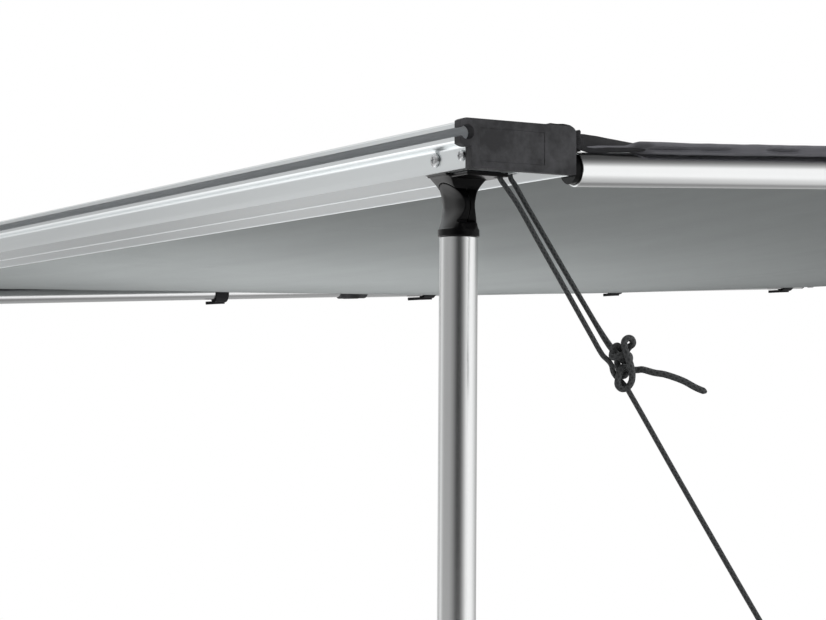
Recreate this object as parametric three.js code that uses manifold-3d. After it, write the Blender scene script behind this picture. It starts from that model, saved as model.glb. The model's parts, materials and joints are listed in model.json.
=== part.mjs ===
// Vehicle side awning, opened out: a mounting rail on the roof rack, two telescopic rafters,
// a canopy between them, a front rail on two telescopic legs, and a guy rope at the right corner.
// Millimetres. X runs along the rails, -Y points away from the vehicle, +Z is up.
// The origin is the middle of the mounting rail's back face.

import * as THREE from 'three';
import { mergeVertices } from 'three/addons/utils/BufferGeometryUtils.js';
import Module from 'manifold-3d';

const wasm = await Module();
wasm.setup();

// Driving dimensions of the whole awning
const AWNING_LENGTH = 2500;
const REACH = 2510;
const SLOPE = THREE.MathUtils.degToRad(2.8);
const LEG_SOLE_DROP = 2040;
const FIT = 0.3;
const OVERRUN = 5;
const MERGE = 0.001;

// How many sides round pieces have
const ROUND = 18;
const SMALL_ROUND = 12;
const DISC_SIDES = 24;
const HEX_SIDES = 6;
const CORNER_STEPS = 5;
const TRACK_STEPS = 8;
const CHANNEL_STEPS = 12;

// Tubes, shared by the legs and the rafters
const OUTER_TUBE_R = 15;
const INNER_TUBE_R = 13.5;
const TUBE_WALL = 1.2;

// Front rail section, measured from its front bottom edge
const RAIL_DEPTH = 93;
const RAIL_HEIGHT = 35;
const RAIL_WALL = 2.2;
const RAIL_WEB_Y = 34;
const RAIL_WEB = 2;
const HOLLOW_STEP_Y = 6;
const HOLLOW_STEP_Z = 15;
const TRACK_Y = -3.7;
const TRACK_BORE_R = 5.7;
const TRACK_SLOT = 6.8;
const TRACK_LIP_Y = -9.8;
const TRACK_WALL = 3.2;
const TRACK_FILLET = 3;
const TONGUE_SLOT_LOW = 3;
const TONGUE_SLOT_HEIGHT = 9;
const TONGUE_SLOT_DEPTH = 18;
const REAR_BLOCK_DEPTH = 20.5;
const RAIL_RIB_Y = 47;
const RAIL_RIB_WIDTH = 1.2;
const RAIL_RIB_DROP = 0.6;
const CORNER_R = 4;

// Bead channels that hold the canopy's front and rear edges
const BEAD_R = 3.6;
const BEAD_CLEARANCE = 0.4;
const BEAD_SLOT = 4.8;
const BEAD_INSET = 6.5;

// Front rail end caps and their screws
const CAP_THICK = 8.7;
const CAP_PROUD = 0.4;
const CAP_PROUD_BOTTOM = 0.6;
const CAP_PROUD_TOP = 1.8;
const CAP_PROUD_REAR = 1;
const CAP_BOSS_LENGTH = 9;
const CAP_PANEL_DEPTH = 0.4;
const CAP_PANEL_FRONT = 7;
const CAP_PANEL_REAR = 28;
const CAP_PANEL_MARGIN = 5;
const CAP_SCREW_HEAD_R = 4.2;
const LEG_SCREW_HEAD_R = 5.4;
const SCREW_HEAD = 2.8;
const SCREW_DOME = 0.9;
const SCREW_R = 2;
const SCREW_LENGTH = 14;
const SCREW_Z = 9.8;
const CAP_SCREW_INSET = 4.5;
const RECESS = 1.2;
const RECESS_WIDTH = 1;
const RECESS_SPAN = 4.4;

// Leg bracket and knuckle
const LEG_INSET = 60.5;
const LEG_Y = 25;
const PIVOT_DROP = 24;
const DISC_R = 17.5;
const PLATE_THICK = 3;
const PLATE_INNER = 10;
const PLATE_OUTER = 39.5;
const PLATE_FRONT = 9;
const PLATE_REAR = 46;
const FLARE_HALF_X = 15;
const FLARE_HALF_Y = 20.5;
const FLARE_CURVE = 1.6;
const FLARE_EDGE = 5;
const FLARE_TAPER = 3;
const THROAT_HALF_X = 12;
const WAIST_HALF_Y = 4.5;
const FOOT_OF_KNUCKLE_HALF_Y = 10;
const UPPER_WAIST_SHARES = [0, 0.14, 0.32, 0.55, 0.79, 1];
const KNUCKLE_END = 43.5;
const KNUCKLE_CHAMFER = 2;
const KNUCKLE_HALF_X = 15;
const KNUCKLE_SHOULDER_DROP = 12.3;
const COLLAR_R = 15.8;
const COLLAR_END = 47.7;
const PLUG_LENGTH = 30;
const PIN_R = 3;
const PIN_HEAD_R = 5;
const PIN_HEAD = 1.6;
const PIN_FRONT = 3;
const UPSTAND_HALF_X = 15;
const UPSTAND_FRONT = 2.6;
const UPSTAND_ROOT = 5;
const UPSTAND_REAR = 16;
const UPSTAND_TOP = 14.6;
const LEG_SCREW_INSET = 53;
const GUY_HOLE_R = 3.5;
const GUY_INSET = 26;
const GUY_HOLE_Y = 40;
const GUY_SLOT_HALF_X = 4.5;
const GUY_SLOT_FRONT = 36.2;
const GUY_SLOT_REAR = 55;

// Leg tubes, twist lock and foot
const LEG_UPPER_LENGTH = 1050;
const LEG_OVERLAP = 128;
const LOCK_LENGTH = 60;
const LOCK_OVER = 15;
const LOCK_WALL = 2.8;
const LOCK_LIP = 1.5;
const LOCK_GRIP = 0.5;
const LOCK_GRIP_FROM = 15;
const LOCK_GRIP_TO = 42;
const LOCK_GRIP_TAPER = 3;
const FOOT_HEIGHT = 35;
const FOOT_R = 19;
const FOOT_SOLE = 12;
const FOOT_RIM = 7;
const FOOT_SHOULDER = 17;
const FOOT_WALL = 2.5;

// Rafters, measured outwards from the front rail's front face
const RAFTER_INSET = 16;
const RAFTER_AXIS_Z = 0.5;
const RIGHT_HINGE_STANDOFF = 70;
const LEFT_HINGE_STANDOFF = 112;
const OUTER_TUBE_SHARE = 0.492;
const RAFTER_OVERLAP = 100;
const RAFTER_LOCK_WALL = 1.3;
const TIP_FLANGE_S = 97;
const TIP_FLANGE = 5;
const TIP_FLANGE_R = 11.7;
const TIP_TONGUE_LENGTH = 19;
const TIP_TONGUE_INNER = 14;
const TIP_TONGUE_OUTER = 5;
const TIP_TONGUE_THICK = 6;
const TIP_TONGUE_LIFT = 2.4;
const TIP_PLUG = 24;
const KNUCKLE_R = 14;
const KNUCKLE_THICK = 10;
const KNUCKLE_SHOULDER = 26;
const KNUCKLE_FLANGE = 3;
const HINGE_PIN_R = 4;
const HINGE_PIN_HEAD_R = 7;
const HINGE_PIN_HEAD = 3;
const EAR_THICK = 4;
const EAR_HALF_X = 14;
const BASE_INNER = 34;
const BASE_OUTER = 11.4;
const BASE_THICK = 5;
const BASE_HALF_Z = 20;

// Mounting rail, its caps, brackets and bolts
const MOUNT_RAIL_DEPTH = 35;
const MOUNT_RAIL_HEIGHT = 60;
const MOUNT_RAIL_WALL = 2.5;
const MOUNT_CAP_THICK = 4;
const MOUNT_CAP_PROUD = 0.8;
const BRACKET_X = 800;
const BRACKET_WIDTH = 50;
const BRACKET_THICK = 5;
const BRACKET_RISE = 24;
const BRACKET_DROP = 39;
const BRACKET_DEPTH = 90;
const BRACKET_SLOT_WIDTH = 9;
const BRACKET_SLOT_LENGTH = 36;
const BRACKET_SLOT_Y = 52;
const BOLT_R = 4;
const BOLT_HEX_R = 7.5;
const BOLT_HEAD = 5.3;
const NUT_THICK = 6.5;
const BOLT_END = 4;
const BOLT_Z = -8;

// Canopy and its straps
const CANOPY_THICK = 2;
const CANOPY_LIFT_FRONT = 16;
const CANOPY_LIFT_REAR = 22.5;
const CANOPY_SIDE = 14;
const CANOPY_SAG = 70;
const CANOPY_STEPS = 12;
const HEM_INNER = 13;
const HEM_OUTER = 15.6;
const HEM_RISE = 4.4;
const HEM_START_S = 149;
const HEM_END_GAP = 50;
const STRAP_PITCH_SHARE = 0.18526;
const STRAP_COUNT = 5;
const STRAP_WIDTH = 25;
const STRAP_THICK = 1;
const STRAP_TAB = 6;
const CORNER_STRAP_INNER = 30.5;
const CORNER_STRAP_OUTER = 6;
const CORNER_STRAP_THICK = 2.4;

// Guy rope, its points chosen by hand, from the front rail's front bottom edge
const ROPE_R = 2;
const ROPE_SIDES = 8;
const ROPE_STEP = 9;
const KNOT_AT = [1316.4, 90.5, -146.5];
const KNOT_R = 11;
const KNOT_HALF_HEIGHT = 20;
const KNOT_RINGS = 10;
const BIGHT_ROUTE = [
  [1312, 81.8, -144.9], [1309.1, 77.9, -140.4], [1299.6, 74.2, -125.6], [1294.9, 72.3, -118],
  [1275.8, 64.9, -87.6], [1256.8, 56.9, -56.7], [1237.8, 48.8, -25.2], [1229.6, 43.6, -11.8],
  [1224.8, 40.6, -4], [1224, 40, 1], [1224, 41.4, 4.6], [1224, 45.2, 6.4], [1224, 48.8, 4.6],
  [1224.2, 49.8, 1], [1225, 50.4, -4], [1228.3, 52, -8.9], [1237.8, 56.2, -24.8],
  [1247.3, 60.7, -40.6], [1266.3, 69.5, -71.9], [1285.4, 78, -102.6], [1299.6, 84.5, -125.3],
  [1305.2, 87.8, -134.2], [1308.2, 90.5, -138.8],
];
const TAIL_ROUTE = [
  [1317.3, 98.7, -151.7], [1319.8, 101.8, -151.3], [1322.3, 104.5, -151], [1327.3, 111.6, -153.3],
  [1331.9, 118.1, -154.6], [1338.4, 129.6, -159.1], [1342.8, 138.6, -164.3], [1345.5, 144.5, -166.9],
];
const RUN_ROUTE = [
  [1319, 91.8, -160], [1320.9, 92.7, -166.3], [1359.4, 111.6, -232.9], [1398.8, 130.8, -300],
  [1424.3, 143.3, -343],
];
const LOOP_R = 9;
const LOOP_SEGMENTS = 16;

// Values that follow from the ones above
const HALF = AWNING_LENGTH / 2;
const RIGHT_PIVOT_S = REACH - RIGHT_HINGE_STANDOFF;
const LEFT_PIVOT_S = REACH - LEFT_HINGE_STANDOFF;
const OUTER_TUBE_S = REACH * OUTER_TUBE_SHARE;
const STRAP_PITCH = REACH * STRAP_PITCH_SHARE;
const METAL_HALF = HALF - CAP_THICK - FIT;
const RAFTER_X = HALF - RAFTER_INSET;
const LEG_X = HALF - LEG_INSET;
const BORE_R = OUTER_TUBE_R - TUBE_WALL;
const CHANNEL_R = BEAD_R + BEAD_CLEARANCE;
const TRACK_Z = RAIL_HEIGHT - TRACK_BORE_R - TRACK_WALL;
const axisZ = (s) => RAFTER_AXIS_Z + s * Math.tan(SLOPE);
const FRONT_Z = -axisZ(RIGHT_PIVOT_S);
const MOUNT_FRONT_S = REACH - MOUNT_RAIL_DEPTH;
const liftAt = (s) => CANOPY_LIFT_FRONT
  + (CANOPY_LIFT_REAR - CANOPY_LIFT_FRONT) * (s - RAIL_DEPTH) / (MOUNT_FRONT_S - RAIL_DEPTH);
const canopyZ = (s) => axisZ(s) + liftAt(s) / Math.cos(SLOPE);
const FRONT_BEAD_Z = canopyZ(RAIL_DEPTH - BEAD_INSET);
const REAR_BEAD_Z = canopyZ(MOUNT_FRONT_S + BEAD_INSET);

// Materials
const metal = (color, roughness) => new THREE.MeshStandardMaterial({ color, roughness, metalness: 0.9 });
const plain = (color, roughness) => new THREE.MeshStandardMaterial({ color, roughness, metalness: 0 });
const satinAluminium = () => metal(0xc4c9cb, 0.35);
const tubeAluminium = () => metal(0xd2d4d5, 0.25);
const steel = () => metal(0xb9bcbe, 0.3);
const paintedSteel = () => plain(0x141415, 0.4);
const blackPlastic = () => plain(0x2b2b2d, 0.55);
const glossBlack = () => plain(0x101112, 0.25);
const greyFabric = () => plain(0x7c807f, 0.9);
const webbing = () => plain(0x161617, 0.85);
const ropeFibre = () => plain(0x2f3133, 0.8);
const rubber = () => plain(0x1a1a1b, 0.7);

// Closed solids from three.js geometry

function solidOf(geometry) {
  const bare = geometry.clone();
  bare.deleteAttribute('normal');
  bare.deleteAttribute('uv');
  const merged = mergeVertices(bare, MERGE);
  const source = merged.index.array;
  const kept = [];
  for (let i = 0; i < source.length; i += 3) {
    const [a, b, c] = source.slice(i, i + 3);
    if (a !== b && b !== c && c !== a) kept.push(a, b, c);
  }
  return new wasm.Manifold(new wasm.Mesh({
    numProp: 3,
    vertProperties: Float32Array.from(merged.attributes.position.array),
    triVerts: Uint32Array.from(kept),
  }));
}

function meshOf(name, solid, material) {
  const { vertProperties, triVerts } = solid.getMesh();
  const geometry = new THREE.BufferGeometry();
  geometry.setAttribute('position', new THREE.BufferAttribute(vertProperties, 3));
  geometry.setIndex(new THREE.BufferAttribute(triVerts, 1));
  geometry.computeVertexNormals();
  const mesh = new THREE.Mesh(geometry, material);
  mesh.name = name;
  return mesh;
}

const join = (solids) => solids.reduce((sum, one) => sum.add(one));
const cut = (solid, tools) => tools.reduce((rest, tool) => rest.subtract(tool), solid);

function arc(u, v, radius, from, to, steps) {
  return Array.from({ length: steps + 1 }, (_, i) => {
    const angle = from + (to - from) * i / steps;
    return [u + radius * Math.cos(angle), v + radius * Math.sin(angle)];
  });
}

const circle = (u, v, radius, sides = ROUND) => arc(u, v, radius, 0, 2 * Math.PI, sides).slice(0, -1);
const rectangle = (u0, u1, v0, v1) => [[u0, v0], [u1, v0], [u1, v1], [u0, v1]];

// An outline pushed along one axis. Outlines are (y, z) along x, (x, z) along y and (x, y) along z.
function prismGeometry(axis, outline, from, to) {
  const shape = new THREE.Shape(outline.map(([u, v]) => new THREE.Vector2(u, v)));
  const low = Math.min(from, to);
  const high = Math.max(from, to);
  const geometry = new THREE.ExtrudeGeometry(shape, { depth: high - low, bevelEnabled: false });
  const x = new THREE.Vector3(1, 0, 0);
  const y = new THREE.Vector3(0, 1, 0);
  const z = new THREE.Vector3(0, 0, 1);
  const turn = new THREE.Matrix4();
  if (axis === 'x') turn.makeBasis(y, z, x).setPosition(low, 0, 0);
  if (axis === 'y') turn.makeBasis(x, z, y.negate()).setPosition(0, high, 0);
  if (axis === 'z') turn.makeBasis(x, y, z).setPosition(0, 0, low);
  return geometry.applyMatrix4(turn);
}

function prism(axis, outline, from, to, holes = []) {
  const solid = solidOf(prismGeometry(axis, outline, from, to));
  const low = Math.min(from, to) - OVERRUN;
  const high = Math.max(from, to) + OVERRUN;
  return cut(solid, holes.map((hole) => solidOf(prismGeometry(axis, hole, low, high))));
}

const block = (x0, x1, y0, y1, z0, z1) => prism('z', rectangle(x0, x1, y0, y1), z0, z1);

// A turned piece. The profile is a list of (radius, height) along the axis.
function turned(axis, profile, sides, at = [0, 0, 0]) {
  const points = profile.map(([radius, height]) => new THREE.Vector2(radius, height));
  const geometry = new THREE.LatheGeometry(points, sides);
  if (axis === 'z') geometry.rotateX(Math.PI / 2);
  if (axis === 'x') geometry.rotateZ(-Math.PI / 2);
  geometry.translate(...at);
  return solidOf(geometry);
}

// A round tube or rod between two heights, with an optional bore
function tube(axis, radius, bore, from, to, at = [0, 0], sides = ROUND) {
  const holes = bore > 0 ? [circle(at[0], at[1], bore, sides)] : [];
  return prism(axis, circle(at[0], at[1], radius, sides), from, to, holes);
}

// A straight-sided rope along a hand-chosen route
function rope(route, radius) {
  const points = route.map((p) => new THREE.Vector3(...p));
  const path = new THREE.CatmullRomCurve3(points, false, 'centripetal');
  const section = new THREE.Shape(circle(0, 0, radius, ROPE_SIDES).map(([u, v]) => new THREE.Vector2(u, v)));
  const steps = Math.ceil(path.getLength() / ROPE_STEP);
  return solidOf(new THREE.ExtrudeGeometry(section, { extrudePath: path, steps, bevelEnabled: false }));
}

// Front rail

// The C-shaped accessory track on the rail's front, from its top to where a fillet meets the front face
function trackOutline(outerR, lipY, frontY, fillet) {
  const lipAngle = Math.acos((lipY - TRACK_Y) / outerR);
  const mouthAngle = Math.PI - Math.asin(TRACK_SLOT / 2 / TRACK_BORE_R);
  const rootAngle = -Math.acos((frontY - fillet - TRACK_Y) / (outerR + fillet));
  const filletZ = TRACK_Z + (outerR + fillet) * Math.sin(rootAngle);
  return [
    ...arc(TRACK_Y, TRACK_Z, outerR, Math.PI / 2, lipAngle, TRACK_STEPS),
    [lipY, TRACK_Z + TRACK_SLOT / 2],
    ...arc(TRACK_Y, TRACK_Z, TRACK_BORE_R, mouthAngle, -mouthAngle, 2 * TRACK_STEPS),
    [lipY, TRACK_Z - TRACK_SLOT / 2],
    ...arc(TRACK_Y, TRACK_Z, outerR, -lipAngle, rootAngle, TRACK_STEPS),
    ...arc(frontY - fillet, filletZ, fillet, Math.PI + rootAngle, 0, CORNER_STEPS).slice(1),
  ];
}

// A round channel opening to +u or -u through a narrower slot
function channelPoints(u, v, radius, slot, mouthU) {
  const opening = Math.asin(slot / 2 / radius);
  const way = Math.sign(mouthU - u);
  const mouth = way > 0 ? 0 : Math.PI;
  const ring = arc(u, v, radius, mouth - opening, mouth - 2 * Math.PI + opening, CHANNEL_STEPS);
  return [[mouthU, v - way * slot / 2], ...ring, [mouthU, v + way * slot / 2]];
}

// A low rib under the rail, from one Y to another
const ribPoints = (from, to) => [[from, 0], [from, -RAIL_RIB_DROP], [to, -RAIL_RIB_DROP], [to, 0]];

function railOutline() {
  const slotTop = TONGUE_SLOT_LOW + TONGUE_SLOT_HEIGHT;
  return [
    [0, 0],
    ...ribPoints(RAIL_RIB_Y - RAIL_RIB_WIDTH / 2, RAIL_RIB_Y + RAIL_RIB_WIDTH / 2),
    ...ribPoints(RAIL_DEPTH - RAIL_RIB_WIDTH, RAIL_DEPTH).slice(0, -1),
    [RAIL_DEPTH, TONGUE_SLOT_LOW],
    [RAIL_DEPTH - TONGUE_SLOT_DEPTH, TONGUE_SLOT_LOW],
    [RAIL_DEPTH - TONGUE_SLOT_DEPTH, slotTop],
    [RAIL_DEPTH, slotTop],
    ...channelPoints(RAIL_DEPTH - BEAD_INSET, FRONT_BEAD_Z, CHANNEL_R, BEAD_SLOT, RAIL_DEPTH),
    ...arc(RAIL_DEPTH - CORNER_R, RAIL_HEIGHT - CORNER_R, CORNER_R, 0, Math.PI / 2, CORNER_STEPS),
    ...trackOutline(TRACK_BORE_R + TRACK_WALL, TRACK_LIP_Y, 0, TRACK_FILLET),
  ];
}

// The hollow behind the front face steps back above the screws, where the track's root is
const frontHollow = (gap) => [
  [RAIL_WALL + gap, RAIL_WALL + gap],
  [RAIL_WEB_Y - RAIL_WEB / 2 - gap, RAIL_WALL + gap],
  [RAIL_WEB_Y - RAIL_WEB / 2 - gap, RAIL_HEIGHT - RAIL_WALL - gap],
  [HOLLOW_STEP_Y + gap, RAIL_HEIGHT - RAIL_WALL - gap],
  [HOLLOW_STEP_Y + gap, HOLLOW_STEP_Z - gap],
  [RAIL_WALL + gap, HOLLOW_STEP_Z - gap],
];
const rearHollow = (gap) => rectangle(
  RAIL_WEB_Y + RAIL_WEB / 2 + gap, RAIL_DEPTH - REAR_BLOCK_DEPTH - gap,
  RAIL_WALL + gap, RAIL_HEIGHT - RAIL_WALL - gap,
);

const screwHole = (x, reach) => tube('y', SCREW_R + FIT, 0, -OVERRUN, reach, [x, SCREW_Z], SMALL_ROUND);

function frontRail() {
  const holes = [frontHollow(0), rearHollow(0)];
  const body = prism('x', railOutline(), -METAL_HALF, METAL_HALF, holes);
  const cuts = [];
  for (const side of [1, -1]) {
    cuts.push(screwHole(side * (METAL_HALF - CAP_SCREW_INSET), RAIL_WALL + FIT));
    cuts.push(screwHole(side * (HALF - LEG_SCREW_INSET), RAIL_WALL + FIT));
    const legX = side * LEG_X;
    cuts.push(block(
      legX - UPSTAND_HALF_X - FIT, legX + UPSTAND_HALF_X + FIT,
      UPSTAND_FRONT - FIT, UPSTAND_REAR + FIT, -OVERRUN, RAIL_WALL + FIT,
    ));
    const guyX = side * (HALF - GUY_INSET);
    cuts.push(block(
      guyX - GUY_SLOT_HALF_X, guyX + GUY_SLOT_HALF_X,
      GUY_SLOT_FRONT, GUY_SLOT_REAR, -OVERRUN, RAIL_WALL + FIT,
    ));
  }
  return meshOf('front_rail', cut(body, cuts), satinAluminium());
}

function capOutline() {
  const outerR = TRACK_BORE_R + TRACK_WALL + CAP_PROUD_TOP;
  const top = RAIL_HEIGHT + CAP_PROUD_TOP;
  const rear = RAIL_DEPTH + CAP_PROUD_REAR;
  const cornerR = CORNER_R + CAP_PROUD_TOP;
  return [
    [-CAP_PROUD, -CAP_PROUD_BOTTOM],
    [rear, -CAP_PROUD_BOTTOM],
    ...arc(rear - cornerR, top - cornerR, cornerR, 0, Math.PI / 2, CORNER_STEPS),
    ...trackOutline(outerR, TRACK_LIP_Y - CAP_PROUD / 2, -CAP_PROUD, FIT),
  ];
}

function frontCap(side, name) {
  const face = side * HALF;
  const inner = side * (METAL_HALF + FIT);
  const bossEnd = side * (METAL_HALF - CAP_BOSS_LENGTH);
  const plate = prism('x', capOutline(), inner, face);
  const frontBoss = prism('x', rectangle(
    RAIL_WALL + FIT, RAIL_WEB_Y - RAIL_WEB / 2 - FIT, RAIL_WALL + FIT, HOLLOW_STEP_Z - FIT,
  ), bossEnd, face - side * CAP_PANEL_DEPTH * 2);
  const rearBoss = prism('x', rearHollow(FIT), bossEnd, face - side * CAP_PANEL_DEPTH * 2);
  const panel = prism('x', rectangle(
    CAP_PANEL_FRONT, RAIL_DEPTH - CAP_PANEL_REAR, CAP_PANEL_MARGIN, RAIL_HEIGHT - CAP_PANEL_MARGIN,
  ), face - side * CAP_PANEL_DEPTH, face + side * OVERRUN);
  const hole = screwHole(side * (METAL_HALF - CAP_SCREW_INSET), SCREW_LENGTH + OVERRUN);
  return meshOf(name, cut(join([plate, frontBoss, rearBoss]), [panel, hole]), blackPlastic());
}

function screw(x, headR, name) {
  const top = -FIT - SCREW_HEAD;
  const profile = [
    [0, SCREW_LENGTH],
    [SCREW_R, SCREW_LENGTH],
    [SCREW_R, -FIT],
    [headR, -FIT],
    [headR, top + 2 * SCREW_DOME],
    [headR - SCREW_DOME, top + SCREW_DOME / 2],
    [headR - 2 * SCREW_DOME, top],
    [0, top],
  ];
  const body = turned('y', profile.reverse(), SMALL_ROUND, [x, 0, SCREW_Z]);
  const bars = [[RECESS_SPAN, RECESS_WIDTH], [RECESS_WIDTH, RECESS_SPAN]].map(([w, h]) => block(
    x - w / 2, x + w / 2, top - OVERRUN, top + RECESS, SCREW_Z - h / 2, SCREW_Z + h / 2,
  ));
  return meshOf(name, cut(body, bars), steel());
}

// Leg bracket and knuckle

// Side view of the waisted knuckle: half its thickness at each depth below the rail
function waistProfile() {
  const flare = FLARE_HALF_Y - WAIST_HALF_Y;
  const upper = UPPER_WAIST_SHARES.map((share) => [
    WAIST_HALF_Y + flare * (1 - share) ** FLARE_CURVE, -PIVOT_DROP * share,
  ]);
  const half = [...upper, [FOOT_OF_KNUCKLE_HALF_Y, -KNUCKLE_END]];
  const front = half.map(([y, z]) => [-y, z]);
  return [...front, ...half.reverse()].map(([y, z]) => [LEG_Y + y, z]);
}

const waistPrism = (x) => prism('x', waistProfile(), x - DISC_R - OVERRUN, x + DISC_R + OVERRUN);
const disc = (x, radius, from, to) => tube('y', radius, 0, from, to, [x, -PIVOT_DROP], DISC_SIDES);
const LAP = LEG_Y + FIT / 2;
const LAP_FRONT = LEG_Y - FIT / 2;
const FAR = FLARE_HALF_Y + OVERRUN;

function legBracket(side, name) {
  const x = side * LEG_X;
  const flareFace = [
    [x - THROAT_HALF_X, -PIVOT_DROP],
    [x + THROAT_HALF_X, -PIVOT_DROP],
    [x + THROAT_HALF_X, -FLARE_EDGE - FLARE_TAPER],
    [x + FLARE_HALF_X, -FLARE_EDGE],
    [x + FLARE_HALF_X, -FIT],
    [x - FLARE_HALF_X, -FIT],
    [x - FLARE_HALF_X, -FLARE_EDGE],
    [x - THROAT_HALF_X, -FLARE_EDGE - FLARE_TAPER],
  ];
  const flare = prism('y', flareFace, LEG_Y - FAR, LEG_Y + FAR);
  const above = flare.subtract(disc(x, DISC_R + FIT, LEG_Y - FAR, LEG_Y + FAR));
  const rearHalf = flare.subtract(block(x - FAR, x + FAR, LEG_Y - FAR, LAP, -KNUCKLE_END, OVERRUN));
  const shape = join([above, rearHalf, disc(x, DISC_R, LAP, LEG_Y + FAR)]).intersect(waistPrism(x));
  const plate = block(
    x - side * PLATE_INNER, x + side * PLATE_OUTER, PLATE_FRONT, PLATE_REAR, -FIT - PLATE_THICK, -FIT,
  );
  const upstand = [[UPSTAND_FRONT, -FIT, UPSTAND_TOP], [UPSTAND_ROOT, -FIT - PLATE_THICK / 2, FIT]].map(
    ([front, low, high]) => block(x - UPSTAND_HALF_X, x + UPSTAND_HALF_X, front, UPSTAND_REAR, low, high),
  );
  const guyAt = [side * (HALF - GUY_INSET), GUY_HOLE_Y];
  const guyHole = tube('z', GUY_HOLE_R, 0, -PLATE_THICK - OVERRUN, OVERRUN, guyAt, SMALL_ROUND);
  const pinHole = disc(x, PIN_R + FIT, LEG_Y - FAR, LEG_Y + FAR);
  const headSeat = disc(x, PIN_HEAD_R + FIT, LEG_Y + WAIST_HALF_Y + FIT, LEG_Y + FAR);
  const hole = screwHole(side * (HALF - LEG_SCREW_INSET), SCREW_LENGTH + OVERRUN);
  const body = join([shape, plate, ...upstand]);
  return meshOf(name, cut(body, [guyHole, pinHole, headSeat, hole]), glossBlack());
}

function legKnuckle(side, name) {
  const x = side * LEG_X;
  const shoulder = -PIVOT_DROP - KNUCKLE_SHOULDER_DROP;
  const outline = [
    [x - KNUCKLE_HALF_X + KNUCKLE_CHAMFER, shoulder],
    [x - KNUCKLE_HALF_X, shoulder - KNUCKLE_CHAMFER],
    [x - KNUCKLE_HALF_X, -KNUCKLE_END],
    [x + KNUCKLE_HALF_X, -KNUCKLE_END],
    [x + KNUCKLE_HALF_X, shoulder - KNUCKLE_CHAMFER],
    [x + KNUCKLE_HALF_X - KNUCKLE_CHAMFER, shoulder],
  ];
  const lower = prism('y', outline, LEG_Y - FAR, LEG_Y + FAR);
  const below = lower.subtract(disc(x, DISC_R + FIT, LEG_Y - FAR, LEG_Y + FAR));
  const behind = block(x - FAR, x + FAR, LAP_FRONT, LEG_Y + FAR, -KNUCKLE_END - OVERRUN, OVERRUN);
  const frontHalf = lower.subtract(behind);
  const shape = join([below, frontHalf, disc(x, DISC_R, LEG_Y - FAR, LAP_FRONT)]).intersect(waistPrism(x));
  const collar = tube('z', COLLAR_R, 0, -COLLAR_END, -KNUCKLE_END + FIT, [x, LEG_Y]);
  const plug = tube('z', BORE_R - FIT, 0, -COLLAR_END - PLUG_LENGTH, -COLLAR_END + FIT, [x, LEG_Y]);
  const pinHole = disc(x, PIN_R + FIT, LEG_Y - PIN_FRONT - FIT, LEG_Y + FAR);
  return meshOf(name, join([shape, collar, plug]).subtract(pinHole), glossBlack());
}

function legPin(side, name) {
  const x = side * LEG_X;
  const reach = WAIST_HALF_Y + FIT * 2;
  const at = [x, -PIVOT_DROP];
  const shank = tube('y', PIN_R, 0, LEG_Y - PIN_FRONT, LEG_Y + reach + PIN_HEAD, at, SMALL_ROUND);
  const head = tube('y', PIN_HEAD_R, 0, LEG_Y + reach, LEG_Y + reach + PIN_HEAD, at, SMALL_ROUND);
  return meshOf(name, join([shank, head]), steel());
}

// Leg tubes, twist lock and foot
const LEG_TOP = -COLLAR_END - FIT;
const LEG_UPPER_END = LEG_TOP - LEG_UPPER_LENGTH;

const legTube = (side, radius, from, to) => tube(
  'z', radius, radius - TUBE_WALL, from, to, [side * LEG_X, LEG_Y],
);

// A twist-lock collar: half grips over the outer tube, half guides the inner one
function lockProfile(wall) {
  const outer = OUTER_TUBE_R + FIT + wall;
  const grip = outer + LOCK_GRIP;
  const length = LOCK_LENGTH;
  return [
    [INNER_TUBE_R + FIT, 0],
    [outer - LOCK_LIP, 0],
    [outer, LOCK_LIP],
    [outer, LOCK_GRIP_FROM - LOCK_GRIP_TAPER],
    [grip, LOCK_GRIP_FROM],
    [grip, LOCK_GRIP_TO],
    [outer, LOCK_GRIP_TO + LOCK_GRIP_TAPER],
    [outer, length - LOCK_LIP],
    [outer - LOCK_LIP / 2, length],
    [OUTER_TUBE_R + FIT, length],
    [OUTER_TUBE_R + FIT, length - LOCK_OVER],
    [INNER_TUBE_R + FIT, length - LOCK_OVER - FIT],
    [INNER_TUBE_R + FIT, 0],
  ];
}

function legLock(side, name) {
  const low = LEG_UPPER_END + LOCK_OVER - LOCK_LENGTH - FIT;
  return meshOf(name, turned('z', lockProfile(LOCK_WALL), ROUND, [side * LEG_X, LEG_Y, low]), blackPlastic());
}

function legFoot(side, name) {
  const tubeEnd = FOOT_SOLE + FIT;
  const wallR = INNER_TUBE_R + FIT;
  const profile = [
    [0, 0],
    [FOOT_R, 0],
    [FOOT_R, FOOT_RIM],
    [wallR + FOOT_WALL, FOOT_SHOULDER],
    [wallR + FOOT_WALL, FOOT_HEIGHT],
    [wallR, FOOT_HEIGHT],
    [wallR, tubeEnd],
    [0, tubeEnd],
  ];
  return meshOf(name, turned('z', profile, ROUND, [side * LEG_X, LEG_Y, -LEG_SOLE_DROP]), rubber());
}

function leg(side, word) {
  const lowerEnd = -LEG_SOLE_DROP + FOOT_SOLE + 2 * FIT;
  const upperTube = legTube(side, OUTER_TUBE_R, LEG_UPPER_END, LEG_TOP);
  const lowerTube = legTube(side, INNER_TUBE_R, lowerEnd, LEG_UPPER_END + LEG_OVERLAP);
  return [
    legBracket(side, `leg_bracket_${word}`),
    legPin(side, `leg_pivot_pin_${word}`),
    legKnuckle(side, `leg_knuckle_${word}`),
    meshOf(`leg_upper_tube_${word}`, upperTube, tubeAluminium()),
    legLock(side, `leg_twist_lock_${word}`),
    meshOf(`leg_lower_tube_${word}`, lowerTube, tubeAluminium()),
    legFoot(side, `leg_foot_${word}`),
  ];
}

// Rafters, in a frame at their hinge pin: -Y runs out along the rafter, Z along the pin

const along = (pivotS, s) => -(pivotS - s) / Math.cos(SLOPE);

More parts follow.
